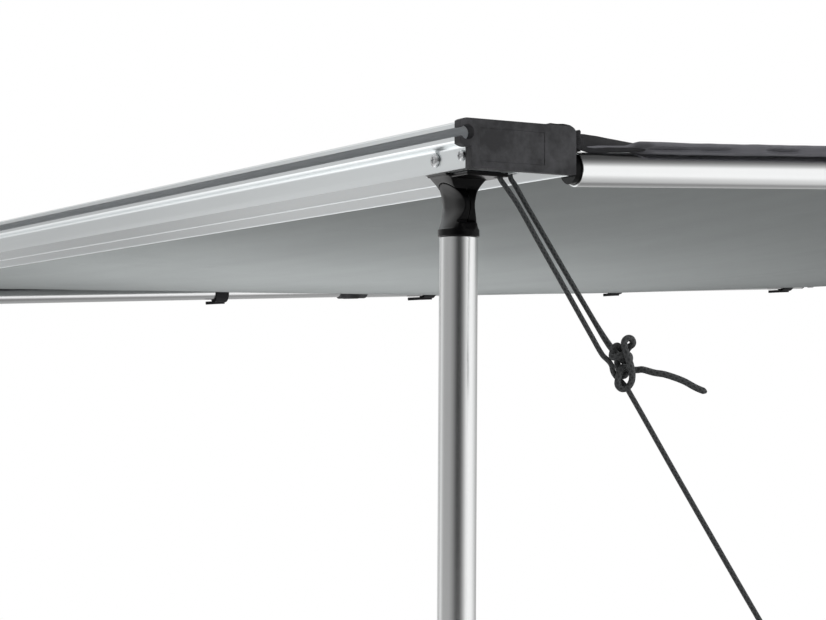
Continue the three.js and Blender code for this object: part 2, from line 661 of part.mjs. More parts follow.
function rafterKnuckle(name) {
  const shoulder = -KNUCKLE_SHOULDER;
  const outline = [
    [EAR_HALF_X, shoulder],
    ...arc(0, 0, KNUCKLE_R, 0, Math.PI, SMALL_ROUND),
    [-EAR_HALF_X, shoulder],
  ];
  const tongue = prism('z', outline, -KNUCKLE_THICK / 2, KNUCKLE_THICK / 2);
  const flange = tube('y', OUTER_TUBE_R, 0, shoulder - KNUCKLE_FLANGE, shoulder + FIT);
  const plug = tube('y', BORE_R - FIT, 0, shoulder - KNUCKLE_FLANGE - PLUG_LENGTH, shoulder);
  const hole = tube('z', HINGE_PIN_R + FIT, 0, -KNUCKLE_R, KNUCKLE_R, [0, 0], SMALL_ROUND);
  return meshOf(name, join([tongue, flange, plug]).subtract(hole), blackPlastic());
}

function rafterTip(side, pivotS, name) {
  const flangeIn = along(pivotS, TIP_FLANGE_S + TIP_FLANGE);
  const flangeOut = along(pivotS, TIP_FLANGE_S);
  const flange = tube('y', TIP_FLANGE_R, 0, flangeOut, flangeIn);
  const plug = tube('y', INNER_TUBE_R - TUBE_WALL - FIT, 0, flangeIn - FIT, flangeIn + TIP_PLUG);
  const tongue = block(
    -side * TIP_TONGUE_INNER, side * TIP_TONGUE_OUTER, flangeOut - TIP_TONGUE_LENGTH, flangeOut + FIT,
    TIP_TONGUE_LIFT - TIP_TONGUE_THICK / 2, TIP_TONGUE_LIFT + TIP_TONGUE_THICK / 2,
  );
  return meshOf(name, join([flange, plug, tongue]), glossBlack());
}

const rafterTube = (radius, from, to) => tube('y', radius, radius - TUBE_WALL, from, to);

function rafterLock(pivotS, name) {
  const low = along(pivotS, OUTER_TUBE_S) + LOCK_OVER - LOCK_LENGTH - FIT;
  return meshOf(name, turned('y', lockProfile(RAFTER_LOCK_WALL), ROUND, [0, low, 0]), blackPlastic());
}

function hingePin(name) {
  const reach = KNUCKLE_THICK / 2 + EAR_THICK + FIT * 2;
  const end = reach + HINGE_PIN_HEAD;
  const shank = tube('z', HINGE_PIN_R, 0, -end, end, [0, 0], SMALL_ROUND);
  const head = tube('z', HINGE_PIN_HEAD_R, 0, reach, end, [0, 0], SMALL_ROUND);
  const clip = tube('z', HINGE_PIN_HEAD_R, 0, -end, -reach, [0, 0], SMALL_ROUND);
  return meshOf(name, join([shank, head, clip]), steel());
}

// Two ears that follow the rafter's slope, on a base plate that stands against the mounting rail
function hingeBracket(side, pivotS, name) {
  const toRail = MOUNT_FRONT_S - pivotS - FIT;
  const outline = [
    ...arc(0, 0, EAR_HALF_X, Math.PI, 2 * Math.PI, SMALL_ROUND),
    [EAR_HALF_X, toRail - BASE_THICK / 2],
    [-EAR_HALF_X, toRail - BASE_THICK / 2],
  ];
  const inner = KNUCKLE_THICK / 2 + FIT;
  const ears = [1, -1].map((way) => prism('z', outline, way * inner, way * (inner + EAR_THICK)));
  const [low, high] = side > 0 ? [-BASE_INNER, BASE_OUTER] : [-BASE_OUTER, BASE_INNER];
  const face = rectangle(low, high, -BASE_HALF_Z, BASE_HALF_Z - EAR_THICK);
  const base = solidOf(prismGeometry('y', face, toRail - BASE_THICK, toRail).rotateX(-SLOPE));
  const hole = tube('z', HINGE_PIN_R + FIT, 0, -BASE_HALF_Z, BASE_HALF_Z, [0, 0], SMALL_ROUND);
  return meshOf(name, join([...ears, base]).subtract(hole), blackPlastic());
}

function rafter(side, word, pivotS) {
  const group = new THREE.Group();
  group.position.set(side * RAFTER_X, pivotS - REACH, FRONT_Z + axisZ(pivotS));
  group.rotation.x = SLOPE;
  const outerEnd = along(pivotS, OUTER_TUBE_S);
  const outerStart = -KNUCKLE_SHOULDER - KNUCKLE_FLANGE - FIT;
  const innerEnd = along(pivotS, TIP_FLANGE_S + TIP_FLANGE) + FIT;
  const outerTube = rafterTube(OUTER_TUBE_R, outerEnd, outerStart);
  const innerTube = rafterTube(INNER_TUBE_R, innerEnd, outerEnd + RAFTER_OVERLAP);
  group.add(
    hingeBracket(side, pivotS, `hinge_bracket_${word}`),
    hingePin(`hinge_pin_${word}`),
    rafterKnuckle(`rafter_knuckle_${word}`),
    meshOf(`rafter_outer_tube_${word}`, outerTube, tubeAluminium()),
    rafterLock(pivotS, `rafter_twist_lock_${word}`),
    meshOf(`rafter_inner_tube_${word}`, innerTube, tubeAluminium()),
    rafterTip(side, pivotS, `rafter_tip_${word}`),
  );
  for (let i = 1; i <= STRAP_COUNT; i += 1) {
    group.add(strap(side, pivotS, i * STRAP_PITCH, `canopy_strap_${word}_${i}`));
  }
  return group;
}

// A webbing loop round the rafter, with its loose tab hanging below
function strap(side, pivotS, s, name) {
  const radius = s > OUTER_TUBE_S ? OUTER_TUBE_R : INNER_TUBE_R;
  const bore = radius + FIT;
  const y = along(pivotS, s);
  const ring = tube('y', bore + STRAP_THICK, bore, y - STRAP_WIDTH / 2, y + STRAP_WIDTH / 2);
  const tab = block(
    -side * STRAP_THICK, side * STRAP_THICK, y - STRAP_WIDTH / 2, y + STRAP_WIDTH / 2,
    -bore - STRAP_TAB, -bore - STRAP_THICK / 2,
  );
  return meshOf(name, join([ring, tab]), webbing());
}

// Canopy

// The cloth sheet between the rails, sagging to the middle, as a closed slab of quads
function sheetSolid(halfWidth, fromS, toS) {
  const n = CANOPY_STEPS;
  const positions = [];
  const index = [];
  const id = (layer, i, j) => layer * (n + 1) * (n + 1) + i * (n + 1) + j;
  for (let layer = 0; layer < 2; layer += 1) {
    for (let i = 0; i <= n; i += 1) {
      for (let j = 0; j <= n; j += 1) {
        const across = 2 * i / n - 1;
        const share = j / n;
        const s = fromS + (toS - fromS) * share;
        const sag = CANOPY_SAG * (1 - across * across) * 4 * share * (1 - share);
        const side = layer === 0 ? -CANOPY_THICK / 2 : CANOPY_THICK / 2;
        positions.push(across * halfWidth, s, canopyZ(s) - sag + side);
      }
    }
  }
  const quad = (a, b, c, d) => index.push(a, b, c, a, c, d);
  for (let i = 0; i < n; i += 1) {
    for (let j = 0; j < n; j += 1) {
      quad(id(1, i, j), id(1, i + 1, j), id(1, i + 1, j + 1), id(1, i, j + 1));
      quad(id(0, i, j), id(0, i, j + 1), id(0, i + 1, j + 1), id(0, i + 1, j));
    }
    quad(id(0, i, 0), id(0, i + 1, 0), id(1, i + 1, 0), id(1, i, 0));
    quad(id(0, i + 1, n), id(0, i, n), id(1, i, n), id(1, i + 1, n));
    quad(id(0, 0, i + 1), id(0, 0, i), id(1, 0, i), id(1, 0, i + 1));
    quad(id(0, n, i), id(0, n, i + 1), id(1, n, i + 1), id(1, n, i));
  }
  const geometry = new THREE.BufferGeometry();
  geometry.setAttribute('position', new THREE.Float32BufferAttribute(positions, 3));
  geometry.setIndex(index);
  return solidOf(geometry);
}

// The doubled hem that lies along the top and outer side of a rafter
function hemSolid(side) {
  const fromS = HEM_START_S;
  const toS = MOUNT_FRONT_S - HEM_END_GAP;
  const inner = side * (RAFTER_X - HEM_INNER);
  const outer = side * (RAFTER_X + HEM_OUTER);
  const half = CANOPY_THICK / 2;
  const outline = [
    [fromS, canopyZ(fromS) - half],
    [toS, canopyZ(toS) - half],
    [toS, canopyZ(toS) + half + HEM_RISE],
    [fromS, canopyZ(fromS) + half + HEM_RISE],
  ];
  return prism('x', outline, inner, outer);
}

function canopy() {
  const halfWidth = HALF - CANOPY_SIDE;
  const frontBeadS = RAIL_DEPTH - BEAD_INSET;
  const rearBeadS = MOUNT_FRONT_S + BEAD_INSET;
  const beadHalf = METAL_HALF - FIT;
  const beads = [[frontBeadS, FRONT_BEAD_Z], [rearBeadS, REAR_BEAD_Z]].map(
    ([s, z]) => tube('x', BEAD_R, 0, -beadHalf, beadHalf, [s, z], SMALL_ROUND),
  );
  const solid = join([sheetSolid(halfWidth, frontBeadS, rearBeadS), ...beads, hemSolid(1), hemSolid(-1)]);
  return meshOf('canopy', solid, greyFabric());
}

// The webbing strap from the end cap's rear top corner down to the canopy's hem
function cornerStrap(side, name) {
  const top = RAIL_HEIGHT + CAP_PROUD_TOP + FIT;
  const hemTop = canopyZ(HEM_START_S) + CANOPY_THICK / 2 + HEM_RISE;
  const rear = RAIL_DEPTH + CAP_PROUD_REAR;
  const under = [
    [rear - TONGUE_SLOT_DEPTH, top],
    [rear - CORNER_R, top],
    [rear + CORNER_R, top - CORNER_R / 2],
    [HEM_START_S - STRAP_WIDTH, hemTop + STRAP_THICK],
    [HEM_START_S - FIT, hemTop + FIT],
    [HEM_START_S + STRAP_WIDTH / 2, hemTop + FIT + STRAP_WIDTH / 2 * Math.tan(SLOPE)],
  ];
  const over = under.map(([y, z]) => [y, z + CORNER_STRAP_THICK]).reverse();
  const inner = side * (HALF - CORNER_STRAP_INNER);
  const outer = side * (HALF - CORNER_STRAP_OUTER);
  return meshOf(name, prism('x', [...under, ...over], inner, outer), webbing());
}

// Guy rope

function knotSolid(grow) {
  const geometry = new THREE.SphereGeometry(KNOT_R + grow, SMALL_ROUND, KNOT_RINGS);
  geometry.rotateX(Math.PI / 2);
  geometry.scale(1, 1, (KNOT_HALF_HEIGHT + grow) / (KNOT_R + grow));
  geometry.translate(...KNOT_AT);
  return solidOf(geometry);
}

function guyRope() {
  const knot = knotSolid(0);
  const around = knotSolid(FIT);
  const fibre = (name, route) => meshOf(name, rope(route, ROPE_R).subtract(around), ropeFibre());
  const end = new THREE.Vector3(...RUN_ROUTE.at(-1));
  const way = end.clone().sub(new THREE.Vector3(...RUN_ROUTE.at(-2))).normalize();
  const centre = end.clone().addScaledVector(way, LOOP_R + ROPE_R + FIT);
  const loopGeometry = new THREE.TorusGeometry(LOOP_R, ROPE_R, ROPE_SIDES, LOOP_SEGMENTS);
  loopGeometry.rotateX(Math.PI / 2);
  loopGeometry.translate(centre.x, centre.y, centre.z);
  return [
    fibre('guy_rope_bight', BIGHT_ROUTE),
    meshOf('guy_rope_knot', knot, ropeFibre()),
    fibre('guy_rope_tail', TAIL_ROUTE),
    fibre('guy_rope_run', RUN_ROUTE),
    meshOf('guy_rope_end_loop', solidOf(loopGeometry), ropeFibre()),
  ];
}

// Mounting rail, its caps, brackets and bolts

const MOUNT_HALF_Z = MOUNT_RAIL_HEIGHT / 2;
const beadZ = () => REAR_BEAD_Z + FRONT_Z;

const mountHollow = (gap) => rectangle(
  -MOUNT_RAIL_DEPTH + MOUNT_RAIL_WALL + gap, -MOUNT_RAIL_WALL - gap,
  -MOUNT_HALF_Z + MOUNT_RAIL_WALL + gap, beadZ() - CHANNEL_R - MOUNT_RAIL_WALL - gap,
);

function mountingRail() {
  const front = -MOUNT_RAIL_DEPTH;
  const outline = [
    [0, -MOUNT_HALF_Z],
    [0, MOUNT_HALF_Z],
    [front, MOUNT_HALF_Z],
    ...channelPoints(front + BEAD_INSET, beadZ(), CHANNEL_R, BEAD_SLOT, front),
    [front, -MOUNT_HALF_Z],
  ];
  const half = HALF - MOUNT_CAP_THICK - FIT;
  const body = prism('x', outline, -half, half, [mountHollow(0)]);
  const deep = -MOUNT_RAIL_WALL - FIT;
  const holes = [1, -1].map((side) => tube(
    'y', BOLT_R + FIT, 0, deep, OVERRUN, [side * BRACKET_X, BOLT_Z], SMALL_ROUND,
  ));
  return meshOf('mounting_rail', cut(body, holes), satinAluminium());
}

function mountCap(side, name) {
  const face = side * HALF;
  const inner = side * (HALF - MOUNT_CAP_THICK);
  const proud = MOUNT_CAP_PROUD;
  const plate = prism('x', rectangle(
    -MOUNT_RAIL_DEPTH - proud, -FIT, -MOUNT_HALF_Z - proud, MOUNT_HALF_Z + proud,
  ), inner, face);
  const boss = prism('x', mountHollow(FIT), inner - side * CAP_BOSS_LENGTH, face - side * FIT);
  return meshOf(name, plate.add(boss), blackPlastic());
}

// An L bracket: its upright bolts to the rail's back, its foot lies on the roof rack
function rackBracket(side, name) {
  const x = side * BRACKET_X;
  const rear = FIT + BRACKET_THICK;
  const outline = [
    [FIT, -BRACKET_DROP],
    [BRACKET_DEPTH, -BRACKET_DROP],
    [BRACKET_DEPTH, -BRACKET_DROP + BRACKET_THICK],
    [rear + CORNER_R, -BRACKET_DROP + BRACKET_THICK],
    [rear, -BRACKET_DROP + BRACKET_THICK + CORNER_R],
    [rear, BRACKET_RISE],
    [FIT, BRACKET_RISE],
  ];
  const body = prism('x', outline, x - BRACKET_WIDTH / 2, x + BRACKET_WIDTH / 2);
  const slotR = BRACKET_SLOT_WIDTH / 2;
  const run = BRACKET_SLOT_LENGTH / 2 - slotR;
  const slot = prism('z', [
    ...arc(x, BRACKET_SLOT_Y + run, slotR, 0, Math.PI, TRACK_STEPS),
    ...arc(x, BRACKET_SLOT_Y - run, slotR, Math.PI, 2 * Math.PI, TRACK_STEPS),
  ], -BRACKET_DROP - OVERRUN, -BRACKET_DROP + BRACKET_THICK + OVERRUN);
  const hole = tube('y', BOLT_R + FIT, 0, -OVERRUN, rear + OVERRUN, [x, BOLT_Z], SMALL_ROUND);
  return meshOf(name, cut(body, [slot, hole]), paintedSteel());
}

function bracketBolt(side, name) {
  const x = side * BRACKET_X;
  const headFace = -MOUNT_RAIL_WALL - FIT;
  const nutFace = BRACKET_THICK + 2 * FIT;
  const tip = nutFace + NUT_THICK + BOLT_END;
  const at = [x, BOLT_Z];
  return meshOf(name, join([
    tube('y', BOLT_R, 0, headFace - BOLT_HEAD, tip, at, SMALL_ROUND),
    tube('y', BOLT_HEX_R, 0, headFace - BOLT_HEAD, headFace, at, HEX_SIDES),
    tube('y', BOLT_HEX_R, 0, nutFace, nutFace + NUT_THICK, at, HEX_SIDES),
  ]), steel());
}

// The whole awning

const SIDES = [[1, 'right', RIGHT_PIVOT_S], [-1, 'left', LEFT_PIVOT_S]];
const awning = new THREE.Group();
const front = new THREE.Group();
front.position.set(0, -REACH, FRONT_Z);

awning.add(mountingRail());
front.add(frontRail(), canopy());
for (const [side, word, pivotS] of SIDES) {
  awning.add(
    mountCap(side, `mounting_rail_cap_${word}`),
    rackBracket(side, `rack_bracket_${word}`),
    bracketBolt(side, `rack_bracket_bolt_${word}`),
    rafter(side, word, pivotS),
  );
  front.add(
    frontCap(side, `front_rail_cap_${word}`),
    screw(side * (METAL_HALF - CAP_SCREW_INSET), CAP_SCREW_HEAD_R, `cap_screw_${word}`),
    screw(side * (HALF - LEG_SCREW_INSET), LEG_SCREW_HEAD_R, `leg_bracket_screw_${word}`),
    cornerStrap(side, `corner_strap_${word}`),
    ...leg(side, word),
  );
}
front.add(...guyRope());
awning.add(front);

export default awning;
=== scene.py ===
# Vehicle side awning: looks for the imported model.
# Metres. X runs along the rails, -Y points away from the vehicle, +Z is up.

import json
import math

import bmesh
import bpy
from mathutils import Matrix, Vector, noise


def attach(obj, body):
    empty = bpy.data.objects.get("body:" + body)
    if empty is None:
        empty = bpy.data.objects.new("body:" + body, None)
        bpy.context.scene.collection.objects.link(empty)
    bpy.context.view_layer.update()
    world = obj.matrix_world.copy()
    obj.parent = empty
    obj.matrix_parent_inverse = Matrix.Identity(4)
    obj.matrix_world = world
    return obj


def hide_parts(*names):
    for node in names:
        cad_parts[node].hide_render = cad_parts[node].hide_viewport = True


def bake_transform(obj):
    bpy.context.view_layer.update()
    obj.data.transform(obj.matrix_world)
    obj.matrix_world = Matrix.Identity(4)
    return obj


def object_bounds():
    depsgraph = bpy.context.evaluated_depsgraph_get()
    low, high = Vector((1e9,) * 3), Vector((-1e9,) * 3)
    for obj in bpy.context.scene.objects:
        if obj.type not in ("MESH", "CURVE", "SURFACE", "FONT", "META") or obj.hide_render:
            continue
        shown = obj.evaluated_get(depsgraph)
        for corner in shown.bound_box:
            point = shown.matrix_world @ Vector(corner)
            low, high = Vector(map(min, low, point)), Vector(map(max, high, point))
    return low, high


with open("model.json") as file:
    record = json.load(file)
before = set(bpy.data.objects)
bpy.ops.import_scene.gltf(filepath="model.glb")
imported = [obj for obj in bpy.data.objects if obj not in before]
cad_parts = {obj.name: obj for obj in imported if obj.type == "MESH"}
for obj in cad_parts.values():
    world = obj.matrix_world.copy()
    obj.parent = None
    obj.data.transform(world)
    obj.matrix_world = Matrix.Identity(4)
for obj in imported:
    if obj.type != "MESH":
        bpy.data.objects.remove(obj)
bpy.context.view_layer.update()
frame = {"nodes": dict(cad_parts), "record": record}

# Where things are

SLOPE = math.radians(2.8)
FRONT = Vector((0, -2.51, -0.119835))
HALF = 1.25
RAFTER_X = 1.234
LEG_X = 1.1895
LEG_S = 0.025
PIVOT_DROP = 0.024
RAFTER_AXIS_Z = 0.0005
OUTER_TUBE_R = 0.015
INNER_TUBE_R = 0.0135
CLOTH_FROM_S = 0.0865
CLOTH_TO_S = 2.4815
SIDES = ((1, "right"), (-1, "left"))
RAFTER_PIVOT = {"right": Vector((1.234, -0.07, 0)), "left": Vector((-1.234, -0.112, -0.002054))}
ALONG_RAFTER = Vector((0, math.cos(SLOPE), math.sin(SLOPE)))
UP = Vector((0, 0, 1))
BODY_OF = {
    node: body for body, nodes in frame["record"]["behaviour"]["bodies"].items() for node in nodes
}
SLOT_OF = {row["node"]: row["material_slot"] for row in frame["record"]["subparts"]}


def at_front(x, s, z):
    """A point given from the middle of the front rail's front bottom edge."""
    return FRONT + Vector((x, s, z))


def clamp(value):
    """A value held between 0 and 1."""
    return min(1, max(0, value))


def circle(radius, sides):
    """Points round a circle, as pairs."""
    rim = [2 * math.pi * i / sides for i in range(sides)]
    return [(radius * math.cos(t), radius * math.sin(t)) for t in rim]


# Camera

CAMERA_AT = Vector((2.65202, -3.35644, -0.30380))
CAMERA_RIGHT = Vector((0.49435, 0.86924, 0.00644))
CAMERA_UP = Vector((0.03736, -0.02864, 0.99889))
CAMERA_BACK = Vector((0.86846, -0.49356, -0.04663))
SENSOR = 36
LENS = 95.85


def make_camera():
    data = bpy.data.cameras.new("camera")
    data.sensor_width = SENSOR
    data.sensor_fit = "HORIZONTAL"
    data.lens = LENS
    camera = bpy.data.objects.new("camera", data)
    bpy.context.scene.collection.objects.link(camera)
    turn = Matrix((CAMERA_RIGHT, CAMERA_UP, CAMERA_BACK)).transposed().to_4x4()
    camera.matrix_world = Matrix.Translation(CAMERA_AT) @ turn
    bpy.context.scene.camera = camera


make_camera()


# Finishes

class Shade:
    """A number, colour or vector on its way through a finish."""

    def __init__(self, finish, socket):
        self.finish = finish
        self.socket = socket

    def math(self, operation, *values):
        inputs = dict(enumerate(values))
        return self.finish.node("ShaderNodeMath", {"operation": operation}, inputs)

    def __add__(self, other):
        return self.math("ADD", self, other)

    def __radd__(self, other):
        return self.math("ADD", other, self)

    def __sub__(self, other):
        return self.math("SUBTRACT", self, other)

    def __rsub__(self, other):
        return self.math("SUBTRACT", other, self)

    def __mul__(self, other):
        return self.math("MULTIPLY", self, other)

    def __rmul__(self, other):
        return self.math("MULTIPLY", other, self)

    def __truediv__(self, other):
        return self.math("DIVIDE", self, other)

    def __pow__(self, other):
        return self.math("POWER", self, other)

    def sine(self):
        return self.math("SINE", self)

    def pingpong(self, length):
        return self.math("PINGPONG", self, length)

    def larger(self, other):
        return self.math("MAXIMUM", self, other)


class Finish:
    """A material and the nodes that feed its shader."""

    def __init__(self, name, **shader):
        self.material = bpy.data.materials.new(name)
        self.material.use_nodes = True
        self.tree = self.material.node_tree
        self.shader = self.tree.nodes["Principled BSDF"]
        for socket, value in shader.items():
            self.set(socket.replace("_", " "), value)

    def node(self, kind, settings=None, inputs=None, output=0):
        made = self.tree.nodes.new(kind)
        for name, value in (settings or {}).items():
            if name == "stops":
                self.stops(made.color_ramp, value)
            else:
                setattr(made, name, value)
        for socket, value in (inputs or {}).items():
            self.feed(made.inputs[socket], value)
        return Shade(self, made.outputs[output])

    def stops(self, ramp, stops):
        while len(ramp.elements) < len(stops):
            ramp.elements.new(1)
        for element, (position, level) in zip(ramp.elements, stops):
            element.position = position
            element.color = (level, level, level, 1)

    def feed(self, socket, value):
        if isinstance(value, Shade):
            self.tree.links.new(value.socket, socket)
        else:
            socket.default_value = value

    def set(self, socket, value):
        self.feed(self.shader.inputs[socket], value)

    def place(self, stretch=(1, 1, 1), turn=(0, 0, 0)):
        spot = self.node("ShaderNodeTexCoord", output="Object")
        return self.node("ShaderNodeMapping", inputs={"Vector": spot, "Scale": stretch, "Rotation": turn})

    def sewn_place(self, stretch=(1, 1, 1)):
        spot = self.node("ShaderNodeTexCoord", output="UV")
        return self.node("ShaderNodeMapping", inputs={"Vector": spot, "Scale": stretch})

    def grain(self, spot, scale, detail=3.0, roughness=0.5):
        return self.node("ShaderNodeTexNoise", inputs={
            "Vector": spot, "Scale": scale, "Detail": detail, "Roughness": roughness,
        })

    def parts(self, spot):
        """The three numbers of a vector."""
        return [self.node("ShaderNodeSeparateXYZ", inputs={"Vector": spot}, output=i) for i in range(3)]

    def ramp(self, value, *stops):
        return self.node("ShaderNodeValToRGB", {"stops": stops}, {"Fac": value})

    def mix(self, share, dark, light):
        return self.node("ShaderNodeMix", {"data_type": "RGBA"}, {
            "Factor": share, 6: dark, 7: light,
        }, output=2)

    def bump(self, height, depth, strength=1.0, normal=None):
        inputs = {"Height": height, "Distance": depth, "Strength": strength}
        if normal is not None:
            inputs["Normal"] = normal
        return self.node("ShaderNodeBump", inputs=inputs)


def colour(r, g, b):
    """A colour written as screen values from 0 to 255."""
    def linear(level):
        share = level / 255
        return share / 12.92 if share <= 0.04045 else ((share + 0.055) / 1.055) ** 2.4
    return (linear(r), linear(g), linear(b), 1)


def drawn_metal(name, stretch, tone, rough, streak, bore=None):
    """Anodised aluminium with fine die lines along its length, rougher and with painted shade inside a bore along X.
    """
    finish = Finish(name, Metallic=1.0)
    lines = finish.grain(finish.place(stretch), 1.0, 4.0, 0.6)
    cloudy = finish.grain(finish.place(), 9.0, 3.0)
    dark = tuple(c * (1 - streak) for c in tone[:3]) + (1,)
    bright = finish.mix(lines * 0.6 + cloudy * 0.4, dark, tone)
    if bore:
        middle_y, middle_z, radius = bore
        _, y, z = finish.parts(finish.place())
        y, z = y - middle_y, z - middle_z
        away = (y * y + z * z) ** 0.5
        inside = finish.ramp(away / (radius * 2), (0.49, 1.0), (0.53, 0.0))
        # Painted shade: the colour inside the bore is pulled darker; the roughness added below is real.
        bright = finish.mix(inside * 0.85, bright, colour(212, 214, 216))
        rough = rough + inside * 0.5
    finish.set("Base Color", bright)
    finish.set("Roughness", rough + lines * 0.08 + cloudy * 0.05)
    finish.set("Normal", finish.bump(lines, 0.00002, 0.25))
    return finish


def moulded_plastic(name, tone, painted_reflection_tone, rough, grain_depth):
    """Moulded plastic with a fine spark-eroded grain, and faint mottling: painted reflection of the surroundings in
    its colour, real variation in its roughness.
    """
    finish = Finish(name, Metallic=0.0)
    grain = finish.grain(finish.place(), 1400.0, 2.0, 0.7)
    patches = finish.grain(finish.place(), 38.0, 4.0, 0.6)
    mottle = finish.ramp(patches, (0.42, 0.0), (0.68, 1.0))
    # Painted reflection: the mottle pulls the colour towards the reflection tone.
    finish.set("Base Color", finish.mix(mottle * 0.8 + grain * 0.2, tone, painted_reflection_tone))
    finish.set("Roughness", rough + patches * 0.14 - mottle * 0.06)
    finish.set("Normal", finish.bump(grain, grain_depth, 0.5))
    return finish


def polished(finish):
    """A clear gloss where a piece faces front or rear, none on its sides."""
    across = finish.parts(finish.node("ShaderNodeTexCoord", output="Normal"))[0]
    finish.set("Coat Weight", finish.ramp(across.math("ABSOLUTE", across), (0.5, 0.42), (0.78, 0.0)))
    finish.set("Coat Roughness", 0.16)
    finish.set("Specular IOR Level", 0.1)
    return finish


def plated_steel():
    finish = Finish("plated_steel", Metallic=1.0)
    brushed = finish.grain(finish.place((700, 700, 700)), 1.0, 2.0)
    cloudy = finish.grain(finish.place(), 120.0, 3.0)
    finish.set("Base Color", finish.mix(cloudy, colour(176, 178, 180), colour(226, 227, 228)))
    finish.set("Roughness", 0.22 + brushed * 0.1)
    finish.set("Normal", finish.bump(brushed, 0.00002, 0.3))
    return finish


THREAD_PITCH = 0.0011
RIPSTOP_PITCH = 0.003
CHEVRON_PITCH = 0.003
RIB_PITCH = 0.0016
WARP_PITCH = 0.0009
PLAIT_PITCH = 0.0048
PLAIT_STARTS = 4.0


def coated_cloth(name, dark, light, grid_tone):
    """Ripstop cloth: a fine plain weave, a grid of heavier threads and soft clouding."""
    finish = Finish(name, Metallic=0.0)
    spot = finish.place()
    x, y, _ = finish.parts(spot)
    weave, cross = ((way * (2 * math.pi / THREAD_PITCH)).sine() for way in (x, y))
    grid_x, grid_y = (
        finish.ramp(way.pingpong(RIPSTOP_PITCH) / RIPSTOP_PITCH, (0.0, 1.0), (0.12, 0.0)) for way in (x, y)
    )
    grid = grid_x.larger(grid_y)
    clouds = finish.grain(spot, 3.2, 5.0, 0.55)
    long_marks = finish.grain(finish.place((1.2, 9.0, 9.0), (0, 0, 0.12)), 1.6, 5.0, 0.6)
    tone = finish.mix(clouds * 0.5 + long_marks * 0.5, dark, light)
    finish.set("Base Color", finish.mix(grid * 0.12, tone, grid_tone))
    finish.set("Roughness", 0.72 + clouds * 0.12)
    finish.set("Specular IOR Level", 0.12)
    height = weave * cross * 0.5 + grid * 0.5
    coarse = finish.bump(long_marks, 0.004, 0.35)
    finish.set("Normal", finish.bump(height, 0.00008, 0.5, coarse))
    return finish


def webbing_weave():
    """Woven polyester tape: ribs across it and a chevron of threads. The map is in metres along and across."""
    finish = Finish("webbing_weave", Metallic=0.0)
    u, v, _ = finish.parts(finish.sewn_place())
    ribs = ((u + v.pingpong(CHEVRON_PITCH)) * (2 * math.pi / RIB_PITCH)).sine() * 0.5 + 0.5
    warp = (v * (2 * math.pi / WARP_PITCH)).sine() * 0.5 + 0.5
    threads = ribs * 0.7 + warp * 0.3
    fluff = finish.grain(finish.place(), 900.0, 3.0)
    finish.set("Base Color", finish.mix(threads * 0.6 + fluff * 0.4, colour(14, 14, 15), colour(52, 52, 55)))
    finish.set("Roughness", 0.75 + fluff * 0.15)
    finish.set("Normal", finish.bump(threads, 0.0003, 0.7))
    return finish


def braided_rope():
    """A 16-plait sheath. The map is in metres along the rope and turns round it."""
    finish = Finish("braided_rope", Metallic=0.0)
    u, v, _ = finish.parts(finish.sewn_place())
    left, right = (
        ((u / PLAIT_PITCH + v * starts) * (2 * math.pi)).sine() for starts in (PLAIT_STARTS, -PLAIT_STARTS)
    )
    plait = left.larger(right) * 0.5 + 0.5
    fluff = finish.grain(finish.place(), 1600.0, 3.0, 0.7)
    shade = plait * 0.65 + fluff * 0.35
    finish.set("Base Color", finish.mix(shade, colour(34, 35, 36), colour(92, 94, 95)))
    finish.set("Roughness", 0.7 + fluff * 0.2)
    finish.set("Normal", finish.bump(plait, 0.00025, 0.7))
    return finish


def moulded_rubber():
    finish = Finish("moulded_rubber", Metallic=0.0)
    dust = finish.grain(finish.place(), 60.0, 5.0, 0.65)
    grain = finish.grain(finish.place(), 900.0, 2.0)
    finish.set("Base Color", finish.mix(dust, colour(24, 24, 25), colour(58, 57, 55)))
    finish.set("Roughness", 0.6 + dust * 0.25)
    finish.set("Normal", finish.bump(grain, 0.0001, 0.5))
    return finish


TUBE_TONE = colour(247, 248, 248)
TRACK_BORE = (-2.5137, -0.0937, 0.0058)
RAIL_FINISH = drawn_metal("satin_aluminium", (2.5, 1500, 1500), colour(238, 242, 243), 0.24, 0.06, TRACK_BORE)
LEG_TUBE_FINISH = drawn_metal("tube_aluminium_upright", (1300, 1300, 2), TUBE_TONE, 0.16, 0.04)
RAFTER_TUBE_FINISH = drawn_metal("tube_aluminium_level", (1300, 2, 1300), TUBE_TONE, 0.16, 0.04)
CAP_FINISH = moulded_plastic("charcoal_plastic", colour(46, 46, 48), colour(88, 88, 91), 0.5, 0.00012)
CAP_FINISH.set("Specular IOR Level", 0.3)
GLOSS_FINISH = polished(moulded_plastic("gloss_black_plastic", colour(9, 9, 10), colour(13, 13, 14), 0.24, 0.00001))
BRACKET_FINISH = moulded_plastic("black_powder_coat", colour(30, 30, 31), colour(44, 44, 45), 0.36, 0.00006)
STEEL_FINISH = plated_steel()
CLOTH_FINISH = coated_cloth("canopy_cloth", colour(138, 142, 142), colour(166, 170, 170), colour(120, 124, 124))
HEM_FINISH = coated_cloth("hem_cloth", colour(98, 98, 103), colour(132, 132, 137), colour(84, 84, 89))
WEBBING_FINISH = webbing_weave()
ROPE_FINISH = braided_rope()
RUBBER_FINISH = moulded_rubber()
FINISH_OF_SLOT = {
    "satin_aluminium": RAIL_FINISH,
    "tube_aluminium": RAFTER_TUBE_FINISH,
    "steel": STEEL_FINISH,
    "bracket_steel": BRACKET_FINISH,
    "black_plastic": CAP_FINISH,
    "gloss_black": GLOSS_FINISH,
    "canopy_cloth": CLOTH_FINISH,
    "webbing": WEBBING_FINISH,
    "rope": ROPE_FINISH,
    "rubber": RUBBER_FINISH,
}


# Mesh making

MERGE = 1e-6
SHARP = math.radians(35)
RIB_S = (0.047, 0.0923)
RIB_R = 0.0008


